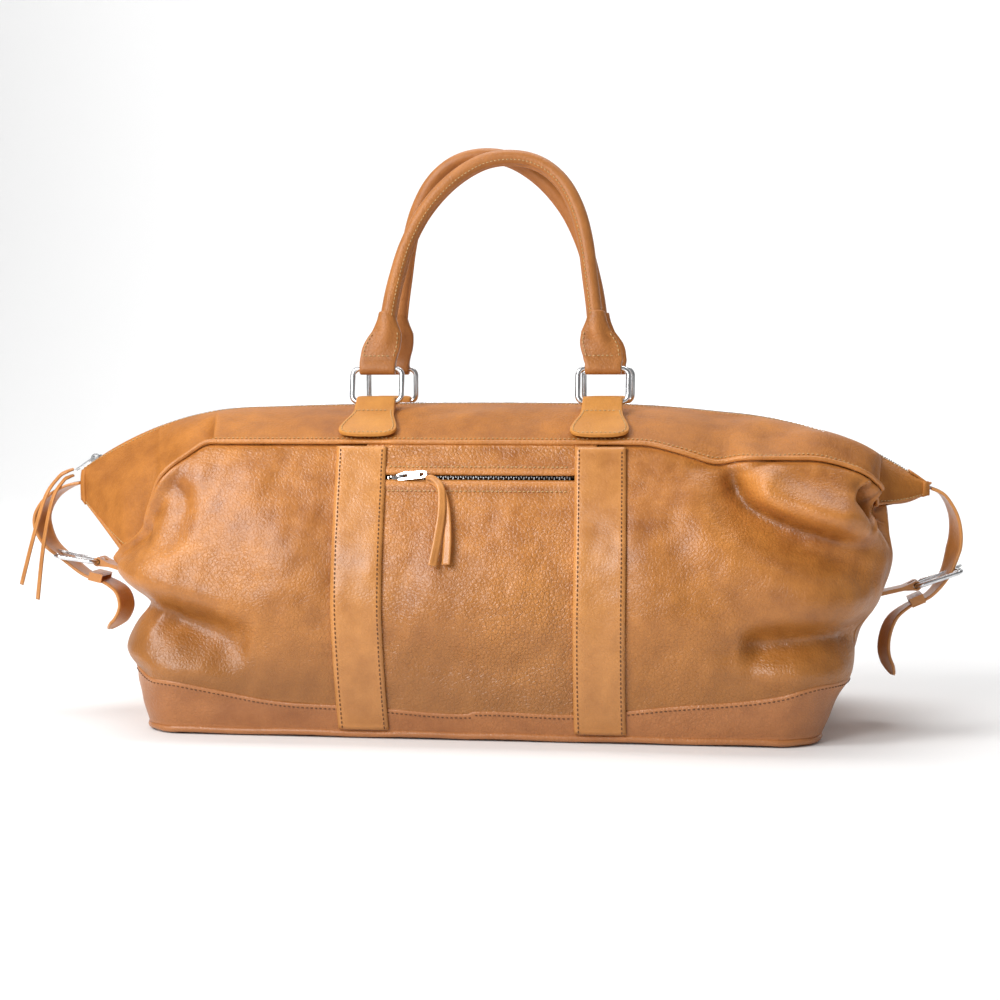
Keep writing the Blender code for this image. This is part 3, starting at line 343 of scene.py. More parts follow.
def leather(name, light, dark, pebble=0.5, gloss=0.36, coat=0.12, shine=0.5, foot_shade=0.0):
    """Full-grain leather: mottled colour, pebbled here and there, pores, worn edges, painted shade in
    hollows and painted shade low down.
    """
    n = Nodes(name)
    cloud = n.noise(n.coords, 9.0, 4.0)
    mottle = n.noise(n.coords, 55.0, 5.0, 0.65)
    grain = n.cells(n.coords, 1 / PEBBLE_SIZE)
    veins = n.cells(n.coords, 0.85 / PEBBLE_SIZE, "DISTANCE_TO_EDGE")
    pores = n.noise(n.coords, 1100.0, 2.0)
    mask = n.math("MAXIMUM", n.math("MINIMUM", n.math("MULTIPLY_ADD", cloud, 1.6, -0.35), 1.0), 0.25)
    tone = n.ramp(n.math("ADD", n.math("MULTIPLY", cloud, 0.55), n.math("MULTIPLY", mottle, 0.45)),
                  [(0.36, dark), (0.5, tuple((a + b) / 2 for a, b in zip(light, dark))), (0.64, light)])
    crack = n.math("SUBTRACT", 1.0, n.math("MULTIPLY", veins, 9.0, clamp=True))
    shade = n.math("MULTIPLY", n.math("MULTIPLY", crack, mask), 0.28 * pebble)
    tone = n.blend(shade, tone, tuple(v * 0.45 for v in dark))
    geometry = n.add("ShaderNodeNewGeometry")
    edge = n.ramp(geometry.outputs["Pointiness"], [(0.49, (0, 0, 0)), (0.53, (0.35, 0.35, 0.35))])
    tone = n.blend(edge, tone, tuple(min(1.0, v * 1.35 + 0.02) for v in light))
    # Painted shade: hollows and fold valleys, where pointiness is low, are darkened.
    hollow_shade = n.ramp(geometry.outputs["Pointiness"], [(0.43, (0.6, 0.6, 0.6)), (0.492, (0, 0, 0))])
    tone = n.blend(hollow_shade, tone, tuple(v * 0.5 for v in dark))
    # Painted shade: the colour darkens towards the bottom of the wall, standing in for less light reaching
    # the lower part.
    if foot_shade:
        height = n.add("ShaderNodeSeparateXYZ", {"Vector": n.coords}).outputs["Z"]
        drift = n.math("MULTIPLY_ADD", cloud, 0.09, -0.045)
        low = n.add("ShaderNodeMapRange", {"Value": n.math("ADD", height, drift), "From Min": 0.15,
                                           "From Max": 0.035, "To Min": 0.0, "To Max": foot_shade})
        tone = n.blend(low.outputs[0], tone, tuple(v * 0.42 for v in light))
    n.wire(tone, "Base Color")
    n.wire(n.math("ADD", gloss - 0.07, n.math("MULTIPLY", mottle, 0.16)), "Roughness")
    n.wire(coat, "Coat Weight")
    n.wire(0.28, "Coat Roughness")
    n.wire(shine, "Specular IOR Level")
    first = n.bump(n.math("MULTIPLY", grain, mask), 0.0009, 0.55 * pebble)
    second = n.bump(n.math("MULTIPLY", n.math("MULTIPLY", veins, 5.0, clamp=True), mask), 0.0005,
                    min(1.0, 0.55 * pebble), first)
    third = n.bump(mottle, 0.0008, 0.25, second)
    n.wire(n.bump(pores, 0.0002, 0.3, third), "Normal")
    return n.material


def metal(name, colour, roughness):
    """Polished nickel with fine scratches and slight tarnish."""
    n = Nodes(name)
    stretch = n.add("ShaderNodeMapping", {"Vector": n.coords, "Scale": (1.0, 14.0, 1.0)}).outputs[0]
    scratch = n.noise(stretch, 420.0, 3.0)
    tarnish = n.noise(n.coords, 160.0, 4.0)
    n.wire(n.ramp(tarnish, [(0.35, tuple(v * 0.78 for v in colour)), (0.6, colour)]), "Base Color")
    n.wire(1.0, "Metallic")
    n.wire(n.math("ADD", roughness, n.math("MULTIPLY", scratch, 0.16)), "Roughness")
    n.wire(n.bump(scratch, 0.0001, 0.12), "Normal")
    return n.material


def woven(name, colour, pitch):
    """Plain weave of crossing yarns."""
    n = Nodes(name)
    waves = []
    for direction in ("X", "Z"):
        wave = n.add("ShaderNodeTexWave", {"Vector": n.coords, "Scale": 0.5 / pitch, "Distortion": 0.6,
                                           "Detail": 1.0}, bands_direction=direction)
        waves.append(wave.outputs["Fac"])
    weave = n.math("MULTIPLY", waves[0], waves[1])
    fleck = n.noise(n.coords, 300.0, 3.0)
    mix = n.math("ADD", n.math("MULTIPLY", weave, 0.6), n.math("MULTIPLY", fleck, 0.4))
    n.wire(n.ramp(mix, [(0.1, tuple(v * 0.5 for v in colour)), (0.7, colour)]), "Base Color")
    n.wire(0.9, "Roughness")
    n.wire(0.2, "Sheen Weight")
    n.wire(n.bump(weave, 0.0003, 0.6), "Normal")
    return n.material


def yarn(name, colour):
    """Twisted thread, rope or pressed fibre."""
    n = Nodes(name)
    twist = n.noise(n.coords, 900.0, 2.0)
    n.wire(n.ramp(twist, [(0.3, tuple(v * 0.6 for v in colour)), (0.65, colour)]), "Base Color")
    n.wire(0.75, "Roughness")
    n.wire(n.bump(twist, 0.0002, 0.5), "Normal")
    return n.material


TAN = leather("tan_leather", (0.57, 0.218, 0.04), (0.25, 0.076, 0.011), pebble=0.9, gloss=0.37, coat=0.07,
              foot_shade=0.72)
PEBBLE = leather("pebbled_leather", (0.6, 0.236, 0.048), (0.29, 0.09, 0.014), pebble=1.6, gloss=0.34,
                 foot_shade=0.72)
TOP = leather("top_leather", (0.5, 0.186, 0.032), (0.25, 0.078, 0.011), pebble=0.9, gloss=0.5, coat=0.0,
              shine=0.22)
BASE = leather("base_leather", (0.42, 0.16, 0.045), (0.25, 0.083, 0.02), pebble=0.8, gloss=0.36)
STRAP = leather("strap_leather", (0.61, 0.258, 0.064), (0.36, 0.13, 0.026), pebble=0.5, gloss=0.34,
                foot_shade=0.35)
CHAPE = leather("chape_leather", (0.6, 0.255, 0.045), (0.42, 0.155, 0.024), pebble=0.5, gloss=0.46,
                coat=0.0, shine=0.3)
HANDLE = leather("handle_leather", (0.44, 0.165, 0.036), (0.22, 0.07, 0.012), pebble=0.7, gloss=0.42,
                 coat=0.05, shine=0.35)
# Dark leather used only for the painted shadow line along the base seam.
SEAM_SHADOW_LEATHER = leather("painted_seam_shadow", (0.3, 0.135, 0.05), (0.2, 0.085, 0.03), pebble=0.2, gloss=0.6, coat=0.0)
SUEDE = leather("flesh_side", (0.26, 0.135, 0.07), (0.13, 0.06, 0.03), pebble=0.2, gloss=0.85, coat=0.0)
NICKEL = metal("polished_nickel", (0.74, 0.74, 0.75), 0.12)
LINING = woven("lining_weave", (0.17, 0.105, 0.06), 0.0006)
TAPE = woven("zip_tape_weave", (0.16, 0.08, 0.035), 0.0005)
BOARD = yarn("fibre_board", (0.3, 0.22, 0.14))
ROPE = yarn("cotton_rope", (0.62, 0.55, 0.42))
THREAD = yarn("waxed_thread", (0.66, 0.42, 0.18))
BROWN_THREAD = yarn("brown_thread", (0.17, 0.072, 0.026))


def make_object(name, data, material, body="bag"):
    item = bpy.data.objects.new(name, data)
    bpy.context.scene.collection.objects.link(item)
    data.materials.append(material)
    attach(item, body)
    return item


def make_mesh(name, points, faces):
    mesh = bpy.data.meshes.new(name)
    mesh.from_pydata(points, [], faces)
    mesh.shade_smooth()
    return mesh


def quads_of(rows, columns, closed=False):
    index = np.arange(rows * columns).reshape(rows, columns)
    if closed:
        index = np.concatenate([index, index[:, :1]], axis=1)
    return np.stack([index[:-1, :-1], index[:-1, 1:], index[1:, 1:], index[1:, :-1]], axis=-1).reshape(-1, 4)


def grid(name, points, material, body="bag", thickness=LEATHER, closed=False, flip=False):
    """A soft sheet from a rows x columns x 3 array of points, thickened away from its outer face."""
    quads = quads_of(*points.shape[:2], closed)
    if flip:
        quads = quads[:, ::-1]
    item = make_object(name, make_mesh(name, points.reshape(-1, 3).tolist(), quads.tolist()), material, body)
    shell = item.modifiers.new("Thickness", "SOLIDIFY")
    shell.thickness = thickness
    shell.offset = -1.0
    shell.use_even_offset = False
    return item


def round_line(name, points, radius, material, body="bag", cyclic=False, sides=4):
    """A round tube along points, for piping, wire and rolled leather."""
    curve = bpy.data.curves.new(name, "CURVE")
    curve.dimensions = "3D"
    curve.bevel_depth = 1.0
    curve.bevel_resolution = sides
    curve.use_fill_caps = True
    line = curve.splines.new("POLY")
    line.points.add(len(points) - 1)
    for vertex, point, size in zip(line.points, points, np.broadcast_to(radius, len(points))):
        vertex.co = (*point, 1.0)
        vertex.radius = size
    line.use_cyclic_u = cyclic
    line.use_smooth = True
    return make_object(name, curve, material, body)


STITCH_GAP, STITCH_RADIUS, STITCH_SIDES = 0.0011, 0.00042, 6


def stitches(name, lines, body="bag", length=0.0023, material=None):
    """Rows of separate thread stitches lying on the leather. Each line is points and outward normals."""
    points_all, faces_all = [], []
    turn = (math.tau * np.arange(STITCH_SIDES) / STITCH_SIDES)[:, None]
    lift = np.array([-0.6, 0.75, 1.0, 0.75, -0.6])[:, None] * STITCH_RADIUS
    thick = np.array([0.55, 1.0, 1.05, 1.0, 0.55])[:, None, None] * STITCH_RADIUS
    for line in lines:
        travel = travel_along(line[0])
        for k in range(int(travel[-1] / (length + STITCH_GAP))):
            start = k * (length + STITCH_GAP) + STITCH_GAP / 2
            places = np.linspace(start, start + length, 5)
            path, normal = (np.stack([np.interp(places, travel, values[:, i]) for i in range(3)], axis=1)
                            for values in line)
            path = path + normal * lift
            across = unit(np.cross(normal, frames_along(path)))
            around = across[:, None] * np.cos(turn) + normal[:, None] * np.sin(turn) * 0.8
            base = len(points_all)
            points_all += (path[:, None] + around * thick).reshape(-1, 3).tolist()
            faces_all += (quads_of(5, STITCH_SIDES, closed=True) + base).tolist()
            faces_all.append([base + m for m in reversed(range(STITCH_SIDES))])
            faces_all.append([base + 4 * STITCH_SIDES + m for m in range(STITCH_SIDES)])
    return make_object(name, make_mesh(name, points_all, faces_all), material or THREAD, body)


def wall_panel(name, first, last, columns, rows, *nodes):
    c = np.linspace(first, last, columns)[None, :]
    low = band_height(c) - BAND_OVERLAP
    v = np.linspace(0, 1, rows)[:, None]
    z = low + (rim_height(c) - SEAM_ALLOWANCE - low) * v
    points = wall(c, z)
    tuck = np.clip((v - 0.965) / 0.035, 0, 1) ** 2 * 0.0018
    points = points - normals_of(points) * tuck[..., None]
    panel = grid(name, points, TAN)
    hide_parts(*nodes)


def place_on_face(x, z, out=0.0, back=False):
    """Points of the front or the back wall at lengths x and heights z."""
    x, z = np.broadcast_arrays(np.asarray(x, float), np.asarray(z, float))
    left, right, depth, corner_left, corner_right = at_height(z)
    flat = np.where(x < 0, left - corner_left, right - corner_right)
    reach = np.abs(x)
    q = np.where(reach <= STRAP_X, TO_STRAP * reach / STRAP_X,
                 TO_STRAP + TO_CORNER * (reach - STRAP_X) / (flat - STRAP_X))
    column = 2 * QUARTER - q if back else q
    return wall(column * np.where(x < 0, -1.0, 1.0), z, out)


def build_walls():
    wall_panel("panel_front_left", -SEAM, -TO_STRAP, 120, 90, "front_panel_left")
    wall_panel("panel_front_right", TO_STRAP, SEAM, 130, 90, "front_panel_right")
    wall_panel("panel_back", 2 * QUARTER - SEAM, 2 * QUARTER + SEAM, 250, 70, "back_panel")
    build_centre()
    build_end("right", 1, RIM_END_RIGHT, TIP_FLOOR_RIGHT)
    build_end("left", -1, RIM_END_LEFT, TIP_FLOOR_LEFT)
    build_inside()


def build_end(name, side, rim, tip):
    """The end panel, which runs on under the wing as its floor."""
    c = np.linspace(QUARTER * side - TO_END, QUARTER * side + TO_END, 44)[None, :]
    low = band_height(c) - BAND_OVERLAP
    points = wall(c, low + (rim - low) * np.linspace(0, 1, 50)[:, None], 0.0004)
    root = points[-1]
    share = np.linspace(0, 1, 24)[1:, None]
    floor = np.empty((23, 44, 3))
    floor[..., 0] = root[:, 0] + (side * (TIP_X + 0.001) - root[:, 0]) * share
    floor[..., 1] = root[:, 1] * np.interp(share, [0, 1], [1, (WING_TIP_HALF - 0.001) / abs(root[0, 1])])
    sag = 0.004 * np.sin(np.pi * share) * (1 - (root[:, 1] / 0.064) ** 2)
    floor[..., 2] = rim + (tip - rim) * share - sag
    panel = grid(f"panel_end_{name}", np.concatenate([points, floor]), TAN)
    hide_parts(f"end_panel_{name}")


def build_inside():
    """The lining, a tub inside the leather."""
    c = np.linspace(0, 4 * QUARTER, 240, endpoint=False)[None, :]
    low = 0.0085
    z = low + (rim_height(c) - 0.016 - low) * np.linspace(0, 1, 60)[:, None]
    lining = grid("lining_tub", wall(c, z, -0.015), LINING, thickness=0.0008, closed=True)
    work = bmesh.new()
    work.from_mesh(lining.data)
    loop = [vertex for vertex in work.verts if vertex.co.z < low + 0.0001]
    loop.sort(key=lambda vertex: math.atan2(vertex.co.y, vertex.co.x))
    work.faces.new(loop)
    work.to_mesh(lining.data)
    work.free()
    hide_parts("lining")


def build_centre():
    """The middle of the front in two pieces, above and below the pocket's zip, with turned edges."""
    reach = STRAP_X - 0.001
    x = np.linspace(-reach, reach, 90)[None, :]
    for name, low, high, rows, edge, seam in (
            ("lower", 0.019, SLOT_LOW, 90, SLOT_LOW, -0.0082),
            ("upper", SLOT_HIGH, RIM_HEIGHT - SEAM_ALLOWANCE, 14, SLOT_HIGH, 0.0062)):
        z = low + (high - low) * np.linspace(0, 1, rows)[:, None]
        near = np.exp(-((z - edge) / 0.0012) ** 2)
        swell = 0.0014 * np.exp(-((np.abs(z - edge) - 0.003) / 0.0026) ** 2)
        panel = grid(f"panel_centre_{name}", place_on_face(x, z, 0.0004 + swell - 0.0006 * near), PEBBLE)
        if name == "lower":
            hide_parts("front_panel_centre")
        row = place_on_face(np.linspace(-0.069, 0.069, 120), edge + seam, 0.001)
        stitches(f"stitches_pocket_{name}", [(row, np.tile(FACE_OUT, (120, 1)))])


def build_base():
    c = np.linspace(0, 4 * QUARTER, 420, endpoint=False)[None, :]
    v = np.linspace(0, 1, 18)[:, None]
    low = 0.0045
    edge = 0.001 - 0.0008 * np.clip((v - 0.9) / 0.1, 0, 1) ** 2
    points = wall(c, low + (band_height(c) - low) * v, edge)
    band = grid("base_band_leather", points, BASE, thickness=0.0022, closed=True)
    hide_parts("base_band")
    route = np.linspace(0, 4 * QUARTER, 500)
    row, proud = (wall(route, band_height(route) - 0.0032, out) for out in (0.001, 0.003))
    stitches("stitches_band", [(row, unit(proud - row))], material=BROWN_THREAD)
    ring = np.linspace(0, 4 * QUARTER, 400, endpoint=False)
    line = wall(ring, 0.0, 0.0006, soft=0.0)
    line[:, 2] = 0.0036 + 0.0003 * np.sin(ring * 3.1)
    piping = round_line("base_piping_cord", line, 0.0026, BASE, cyclic=True, sides=3)
    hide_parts("base_piping")
    # Painted shadow: a thin dark cord just above the base piping stands in for shade in the seam.
    shadow = line + (line - line.mean(axis=0)) * -0.004
    shadow[:, 2] += 0.0068 - line[:, 2]
    round_line("base_seam_shadow", shadow, 0.0007, SEAM_SHADOW_LEATHER, cyclic=True, sides=1)


def behind_lip(c):
    """How far the gusset's edge is tucked in behind the lip: 1 halfway round a left corner, 0 elsewhere."""
    return np.sin(2 * corner_angle(np.abs(c))) ** 0.8


def gusset_edge(side, count=110, wing=26):
    """Lower edge points and the ridge stations over them, from the middle to the wing's tip."""
    c = np.linspace(0, SEAM, count) * side
    low = wall(c, rim_height(c) + 0.0008, -0.0014)
    ridge = np.minimum(np.abs(low[:, 0]) * 1.06, WING_ROOT)
    if side < 0:
        low += np.array([0.016, 0.012, -0.004]) * behind_lip(c)[:, None]
    root = low[-1]
    share = np.linspace(0, 1, wing)[1:]
    tip = TIP_FLOOR_RIGHT if side > 0 else TIP_FLOOR_LEFT
    out = np.stack([root[0] + (side * TIP_X - root[0]) * share,
                    root[1] * (1 - share) - WING_TIP_HALF * share,
                    root[2] + (tip - root[2]) * share - 0.002 * np.sin(np.pi * share)], axis=1)
    return np.concatenate([low, out]), np.concatenate([ridge, WING_ROOT + (TIP_X - WING_ROOT) * share])


def gusset_surface(side, t):
    """The gusset's front half from its seam (t = 0) up to the zip (t = 1), crowned and dented."""
    low, ridge = gusset_edge(side)
    top = np.stack([ridge * side, np.full(len(ridge), -ZIP_EDGE), ridge_height(ridge * side)], axis=1)
    t = t[:, None]
    points = low[None] + (top - low)[None] * t[..., None]
    reach = np.abs(points[..., 0])
    corner = np.exp(-((reach - 0.262) / 0.045) ** 2)
    uneven = ripple(points[..., 0], points[..., 1] * 2.0, 0.06, 17)
    crown = np.sin(np.pi * t) * (0.0046 + 0.005 * corner + 0.0011 * uneven)
    dent = np.exp(-((reach - 0.214) / 0.016) ** 2) * np.exp(-((t - 0.35) / 0.25) ** 2)
    crown = crown - 0.0042 * dent * (1.0 if side > 0 else 0.4)
    points[..., 2] += crown
    points[..., 1] -= crown * 0.45
    return points


def build_gussets():
    t = np.linspace(0, 1, 26)
    front = np.concatenate([gusset_surface(-1, t)[:, :0:-1], gusset_surface(1, t)], axis=1)
    for name, points in (("front", front), ("back", front[:, ::-1] * MIRROR_Y)):
        gusset = grid(f"gusset_{name}", points, TOP)
        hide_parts(f"top_gusset_{name}")
        normal = normals_of(points)
        stitches(f"stitches_gusset_{name}", [(points[k] + normal[k] * 0.0001, normal[k]) for k in (1, 24)])
    for name, side in (("right", 1), ("left", -1)):
        build_wing_cap(name, side)


def build_wing_cap(name, side):
    """Leather wrapped round the wing's tip, where the end strap starts."""
    skin = gusset_surface(side, np.linspace(0, 0.93, 14))
    skin = (skin + normals_of(skin) * side * 0.001)[:, -3:]
    skin[..., 2] -= 0.001
    back = skin * MIRROR_Y
    start, stop = skin[:, -1], back[:, -1]
    turn = np.linspace(0, 1, 12)[1:-1]
    face = start[:, None] + (stop - start)[:, None] * turn[None, :, None]
    face[..., 0] += side * 0.003 * np.sin(np.pi * turn) ** 0.5
    points = np.concatenate([skin, face, back[:, ::-1]], axis=1)
    cap = grid(f"wing_cap_{name}", points, TOP, flip=side < 0)


def build_tucks():
    """Leather turned in behind the rolled lip of the left corners, down to the gusset's edge."""
    c = -np.linspace(CORNER_START + 0.03, SEAM - 0.03, 60)
    behind = behind_lip(c)[:, None]
    edge = wall(c, rim_height(c) + 0.0002, -0.001)
    inner = wall(c, rim_height(c) + 0.0008, -0.0014) + np.array([0.0168, 0.0126, -0.0042]) * behind
    u = np.linspace(0, 1, 9)[:, None, None]
    points = edge + (inner - edge) * u
    points[..., 2] -= 0.006 * np.sin(np.pi * u[..., 0]) * behind[:, 0]
    for name, mirror in (("front", 1), ("back", MIRROR_Y)):
        tuck = grid(f"corner_tuck_{name}", points * mirror, TOP, thickness=0.0012, flip=name == "front")


def build_zip_end():
    """Leather patch sewn over the end of the zip at the right wing's tip."""
    half = 0.0128
    x, y = np.meshgrid(np.linspace(TIP_X - 0.0125, TIP_X - 0.0002, 16), np.linspace(-half, half, 19))
    z = ridge_height(x) + 0.0002 + 0.0009 * np.cos(y / half * math.pi / 2)
    patch = grid("zip_end_patch", np.stack([x, y, z], axis=-1), TOP, thickness=0.0014, flip=True)


def build_top_piping():
    for name, start in (("front", 0.0), ("back", 2.0 * QUARTER)):
        c = np.linspace(-SEAM, SEAM, 300) + start
        line = wall(c, rim_height(c), 0.0007)
        piping = round_line(f"top_piping_cord_{name}", line, 0.0018, TAN, sides=3)
        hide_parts(f"top_piping_{name}")


def build_straps():
    z = np.linspace(0.007, RIM_HEIGHT - 0.003, 80)[:, None]
    across = np.linspace(-1, 1, 13)[None, :]
    for face, back in (("front", False), ("back", True)):
        for side, centre in (("left", -STRAP_X), ("right", STRAP_X)):
            waver = 0.0006 * np.sin(z * 31 + centre * 40)
            if not back:
                shift = (-0.0025, 0.006) if centre < 0 else (0.002, 0.005)
                waver = waver + shift[0] + (shift[1] - shift[0]) * (1 - z / RIM_HEIGHT)
            x = centre + across * 0.019 + waver
            roll = 0.0036 - 0.001 * np.abs(across) ** 6 + 0.0003 * np.cos(across * 2.2)
            if back:
                x = x[:, ::-1]
            points = place_on_face(x, np.broadcast_to(z, x.shape), roll, back)
            strap = grid(f"strap_leather_{face}_{side}", points, STRAP, thickness=0.0019)
            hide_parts(f"strap_{face}_{side}")
            normal = normals_of(points)
            lines = [(points[:, k] + normal[:, k] * 0.0001, normal[:, k]) for k in (1, 11)]
            stitches(f"stitches_strap_{face}_{side}", lines, material=BROWN_THREAD)


BAR_Y, BAR_Z = 0.035, 0.249
RING_HEIGHT, RING_HALF = 0.0265, 0.0195
GRIP_RADIUS, GRIP_FOOT = 0.006, 0.0825
BULGE_HALF = 0.0052
WIDE = np.array([1.0, 0.0, 0.0])
FRONT_LEAN, BACK_LEAN = math.radians(12), math.radians(3)
GRIP_ROUTE = [
    (-0.0825, 0.056), (-0.0806, 0.076), (-0.0762, 0.1), (-0.0688, 0.127), (-0.0553, 0.1545),
    (-0.0352, 0.178), (-0.0112, 0.1935), (0.0125, 0.1975), (0.0347, 0.1925), (0.0528, 0.178),
    (0.0653, 0.1555), (0.0728, 0.129), (0.0772, 0.1), (0.0806, 0.076), (0.0825, 0.056),
]


def loft(name, centres, wides, deeps, side, front, power, material, body, bulges):
    """A closed form of flattened round sections. side and front are the section's two directions."""
    turn = np.linspace(0, math.tau, 40, endpoint=False)
    power = 2 / np.broadcast_to(power, len(centres))[:, None]
    x = wides[:, None] * np.sign(np.cos(turn)) * np.abs(np.cos(turn)) ** power
    y = np.sign(np.sin(turn)) * np.abs(np.sin(turn)) ** power
    y = deeps[:, None] * y + np.sign(y) * bulges[:, None] * np.exp(-(x / BULGE_HALF) ** 2)
    rings = centres[:, None] + x[..., None] * side + y[..., None] * front
    rows, count = x.shape
    quads = quads_of(rows, count, closed=True)
    last = (rows - 1) * count
    faces = quads.tolist() + [list(range(count))[::-1], list(range(last, last + count))]
    mesh = make_mesh(name, rings.reshape(-1, 3).tolist(), faces)
    work = bmesh.new()
    work.from_mesh(mesh)
    bmesh.ops.recalc_face_normals(work, faces=work.faces)
    work.to_mesh(mesh)
    work.free()
    return make_object(name, mesh, material, body)


def rounded_route(half, low, high, corner, steps=10):
    """The outline of a rounded rectangle, as for a bent wire."""
    points = []
    for cx, cz, start in ((half - corner, low + corner, -90), (half - corner, high - corner, 0),
                          (-half + corner, high - corner, 90), (-half + corner, low + corner, 180)):
        for k in range(steps + 1):
            turn = math.radians(start + 90 * k / steps)
            points.append((cx + corner * math.cos(turn), cz + corner * math.sin(turn)))
    return np.array(points)


def build_handles():
    for face, sign, lean in (("front", -1, FRONT_LEAN), ("back", 1, BACK_LEAN)):
        up = np.array([0.0, -sign * math.sin(lean), math.cos(lean)])
        front = np.array([0.0, sign * math.cos(lean), math.sin(lean)])
        bar = np.array([0.0, sign * BAR_Y, BAR_Z])
        body = f"handle_{face}"
        for side, x in (("left", -STRAP_X), ("right", STRAP_X)):
            flat = rounded_route(RING_HALF, 0.0, RING_HEIGHT, 0.0055)
            line = bar + WIDE * x + flat[:, :1] * WIDE + flat[:, 1:] * up
            ring = round_line(f"ring_wire_{face}_{side}", line, 0.0021, NICKEL, f"ring_{face}_{side}",
                              cyclic=True, sides=5)
            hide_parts(f"ring_{face}_{side}")
            build_chape(face, sign, side, x)
            build_tab(face, side, x, bar, up, front, body)
        flat = smooth_line(GRIP_ROUTE, 130)
        line = bar - sign * flat[:, :1] * WIDE + flat[:, 1:] * up
        swell = GRIP_RADIUS + 0.00025 * np.sin(np.linspace(0, 19, 130))
        grip = round_line(f"handle_grip_{face}", line, swell, HANDLE, body, sides=7)
        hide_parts(f"handle_cover_{face}")
        along = frames_along(line)
        inward = bar + up * 0.115 - line
        inward = unit(inward - along * np.sum(inward * along, axis=1, keepdims=True))
        under = line + inward * 0.0054 - front * 0.0012
        round_line(f"handle_seam_{face}", under[4:-4], 0.0013, HANDLE, body, sides=3)
        outward = inward * 0.55 + front * 0.84
        row = line + outward * swell[:, None]
        stitches(f"stitches_grip_{face}", [(row[6:-6], outward[6:-6])], body, length=0.0021)


# Distance above the ring's upper bar, half width, half depth, squareness and bulge of a handle's tab.
TAB = [
    (-0.0047, 0.0132, 0.0006, 8.0, 0.0), (-0.004, 0.0139, 0.0027, 8.0, 0.0),
    (-0.002, 0.0142, 0.0043, 7.0, 0.0), (0.0, 0.0142, 0.0047, 7.0, 0.0),
    (0.003, 0.0142, 0.0043, 7.0, 0.0), (0.0065, 0.0144, 0.0034, 7.0, 0.0),
    (0.01, 0.0146, 0.003, 6.0, 0.0004), (0.0155, 0.015, 0.003, 5.0, 0.0016),
    (0.021, 0.0144, 0.0032, 4.0, 0.0026), (0.027, 0.0127, 0.0038, 3.2, 0.0026),
    (0.033, 0.0101, 0.0049, 2.6, 0.0016), (0.039, 0.0079, 0.0059, 2.2, 0.0005),
    (0.045, 0.0067, 0.0064, 2.0, 0.0),
]
# Distance down from the ring's lower bar, half width and half thickness of a chape.
BELL = [
    (-0.0046, 0.0146, 0.0008), (-0.0036, 0.0152, 0.003), (-0.0015, 0.0154, 0.0045), (0.0015, 0.0155, 0.0046),
    (0.005, 0.0156, 0.004), (0.0095, 0.0157, 0.0028), (0.014, 0.016, 0.0019), (0.022, 0.0174, 0.0017),
    (0.031, 0.02, 0.0017), (0.038, 0.0218, 0.0017), (0.043, 0.0221, 0.0017), (0.047, 0.0206, 0.0017),
    (0.0498, 0.0165, 0.0016), (0.0514, 0.0095, 0.0014), (0.052, 0.002, 0.001),
]
CHAPE_SLOPE = math.radians(24)
CHAPE_SEAM_END = 0.0497


def build_tab(face, side, x, bar, up, front, body):
    """The grip's flattened end, folded round the ring's upper bar and gathered into the grip."""
    stations = np.array(TAB)
    if side == "right":
        s = stations[:, 0]
        stations[:, 1] *= np.where((s > 0.005) & (s < 0.022), 1.05, 1.0)
        stations[:, 2] *= np.where((s > 0.008) & (s < 0.022), 0.8, 1.0)
        stations[:, 4] *= 1.5
    s, wide, deep, power, bulge = smooth_line(stations, 60).T
    shift = np.minimum(0.0062 * np.clip((s - 0.004) / 0.026, 0, 1) ** 1.4, abs(GRIP_FOOT - STRAP_X))
    centres = bar + WIDE * x + (RING_HEIGHT + s)[:, None] * up - math.copysign(1, x) * shift[:, None] * WIDE
    tab = loft(f"handle_tab_leather_{face}_{side}", centres, wide, deep, WIDE, front, power, HANDLE, body,
               bulge)
    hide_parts(f"handle_tab_{face}_{side}")
    pick = (s > 0.0085) & (s < 0.03)
    inset = np.maximum(wide - 0.0026, 0.002)
    lift = deep * 0.97 + bulge * np.exp(-(inset / BULGE_HALF) ** 2)
    rows = [(centres + edge * inset[:, None] * WIDE + lift[:, None] * front)[pick] for edge in (-1, 1)]
    level = np.linspace(-0.0115, 0.0115, 24)
    at = np.argmin(np.abs(s - 0.01))
    lift = deep[at] + bulge[at] * np.exp(-(level / BULGE_HALF) ** 2)
    rows.append(centres[at] + level[:, None] * WIDE + lift[:, None] * front)
    stitches(f"stitches_tab_{face}_{side}", [(row, np.tile(front, (len(row), 1))) for row in rows], body)


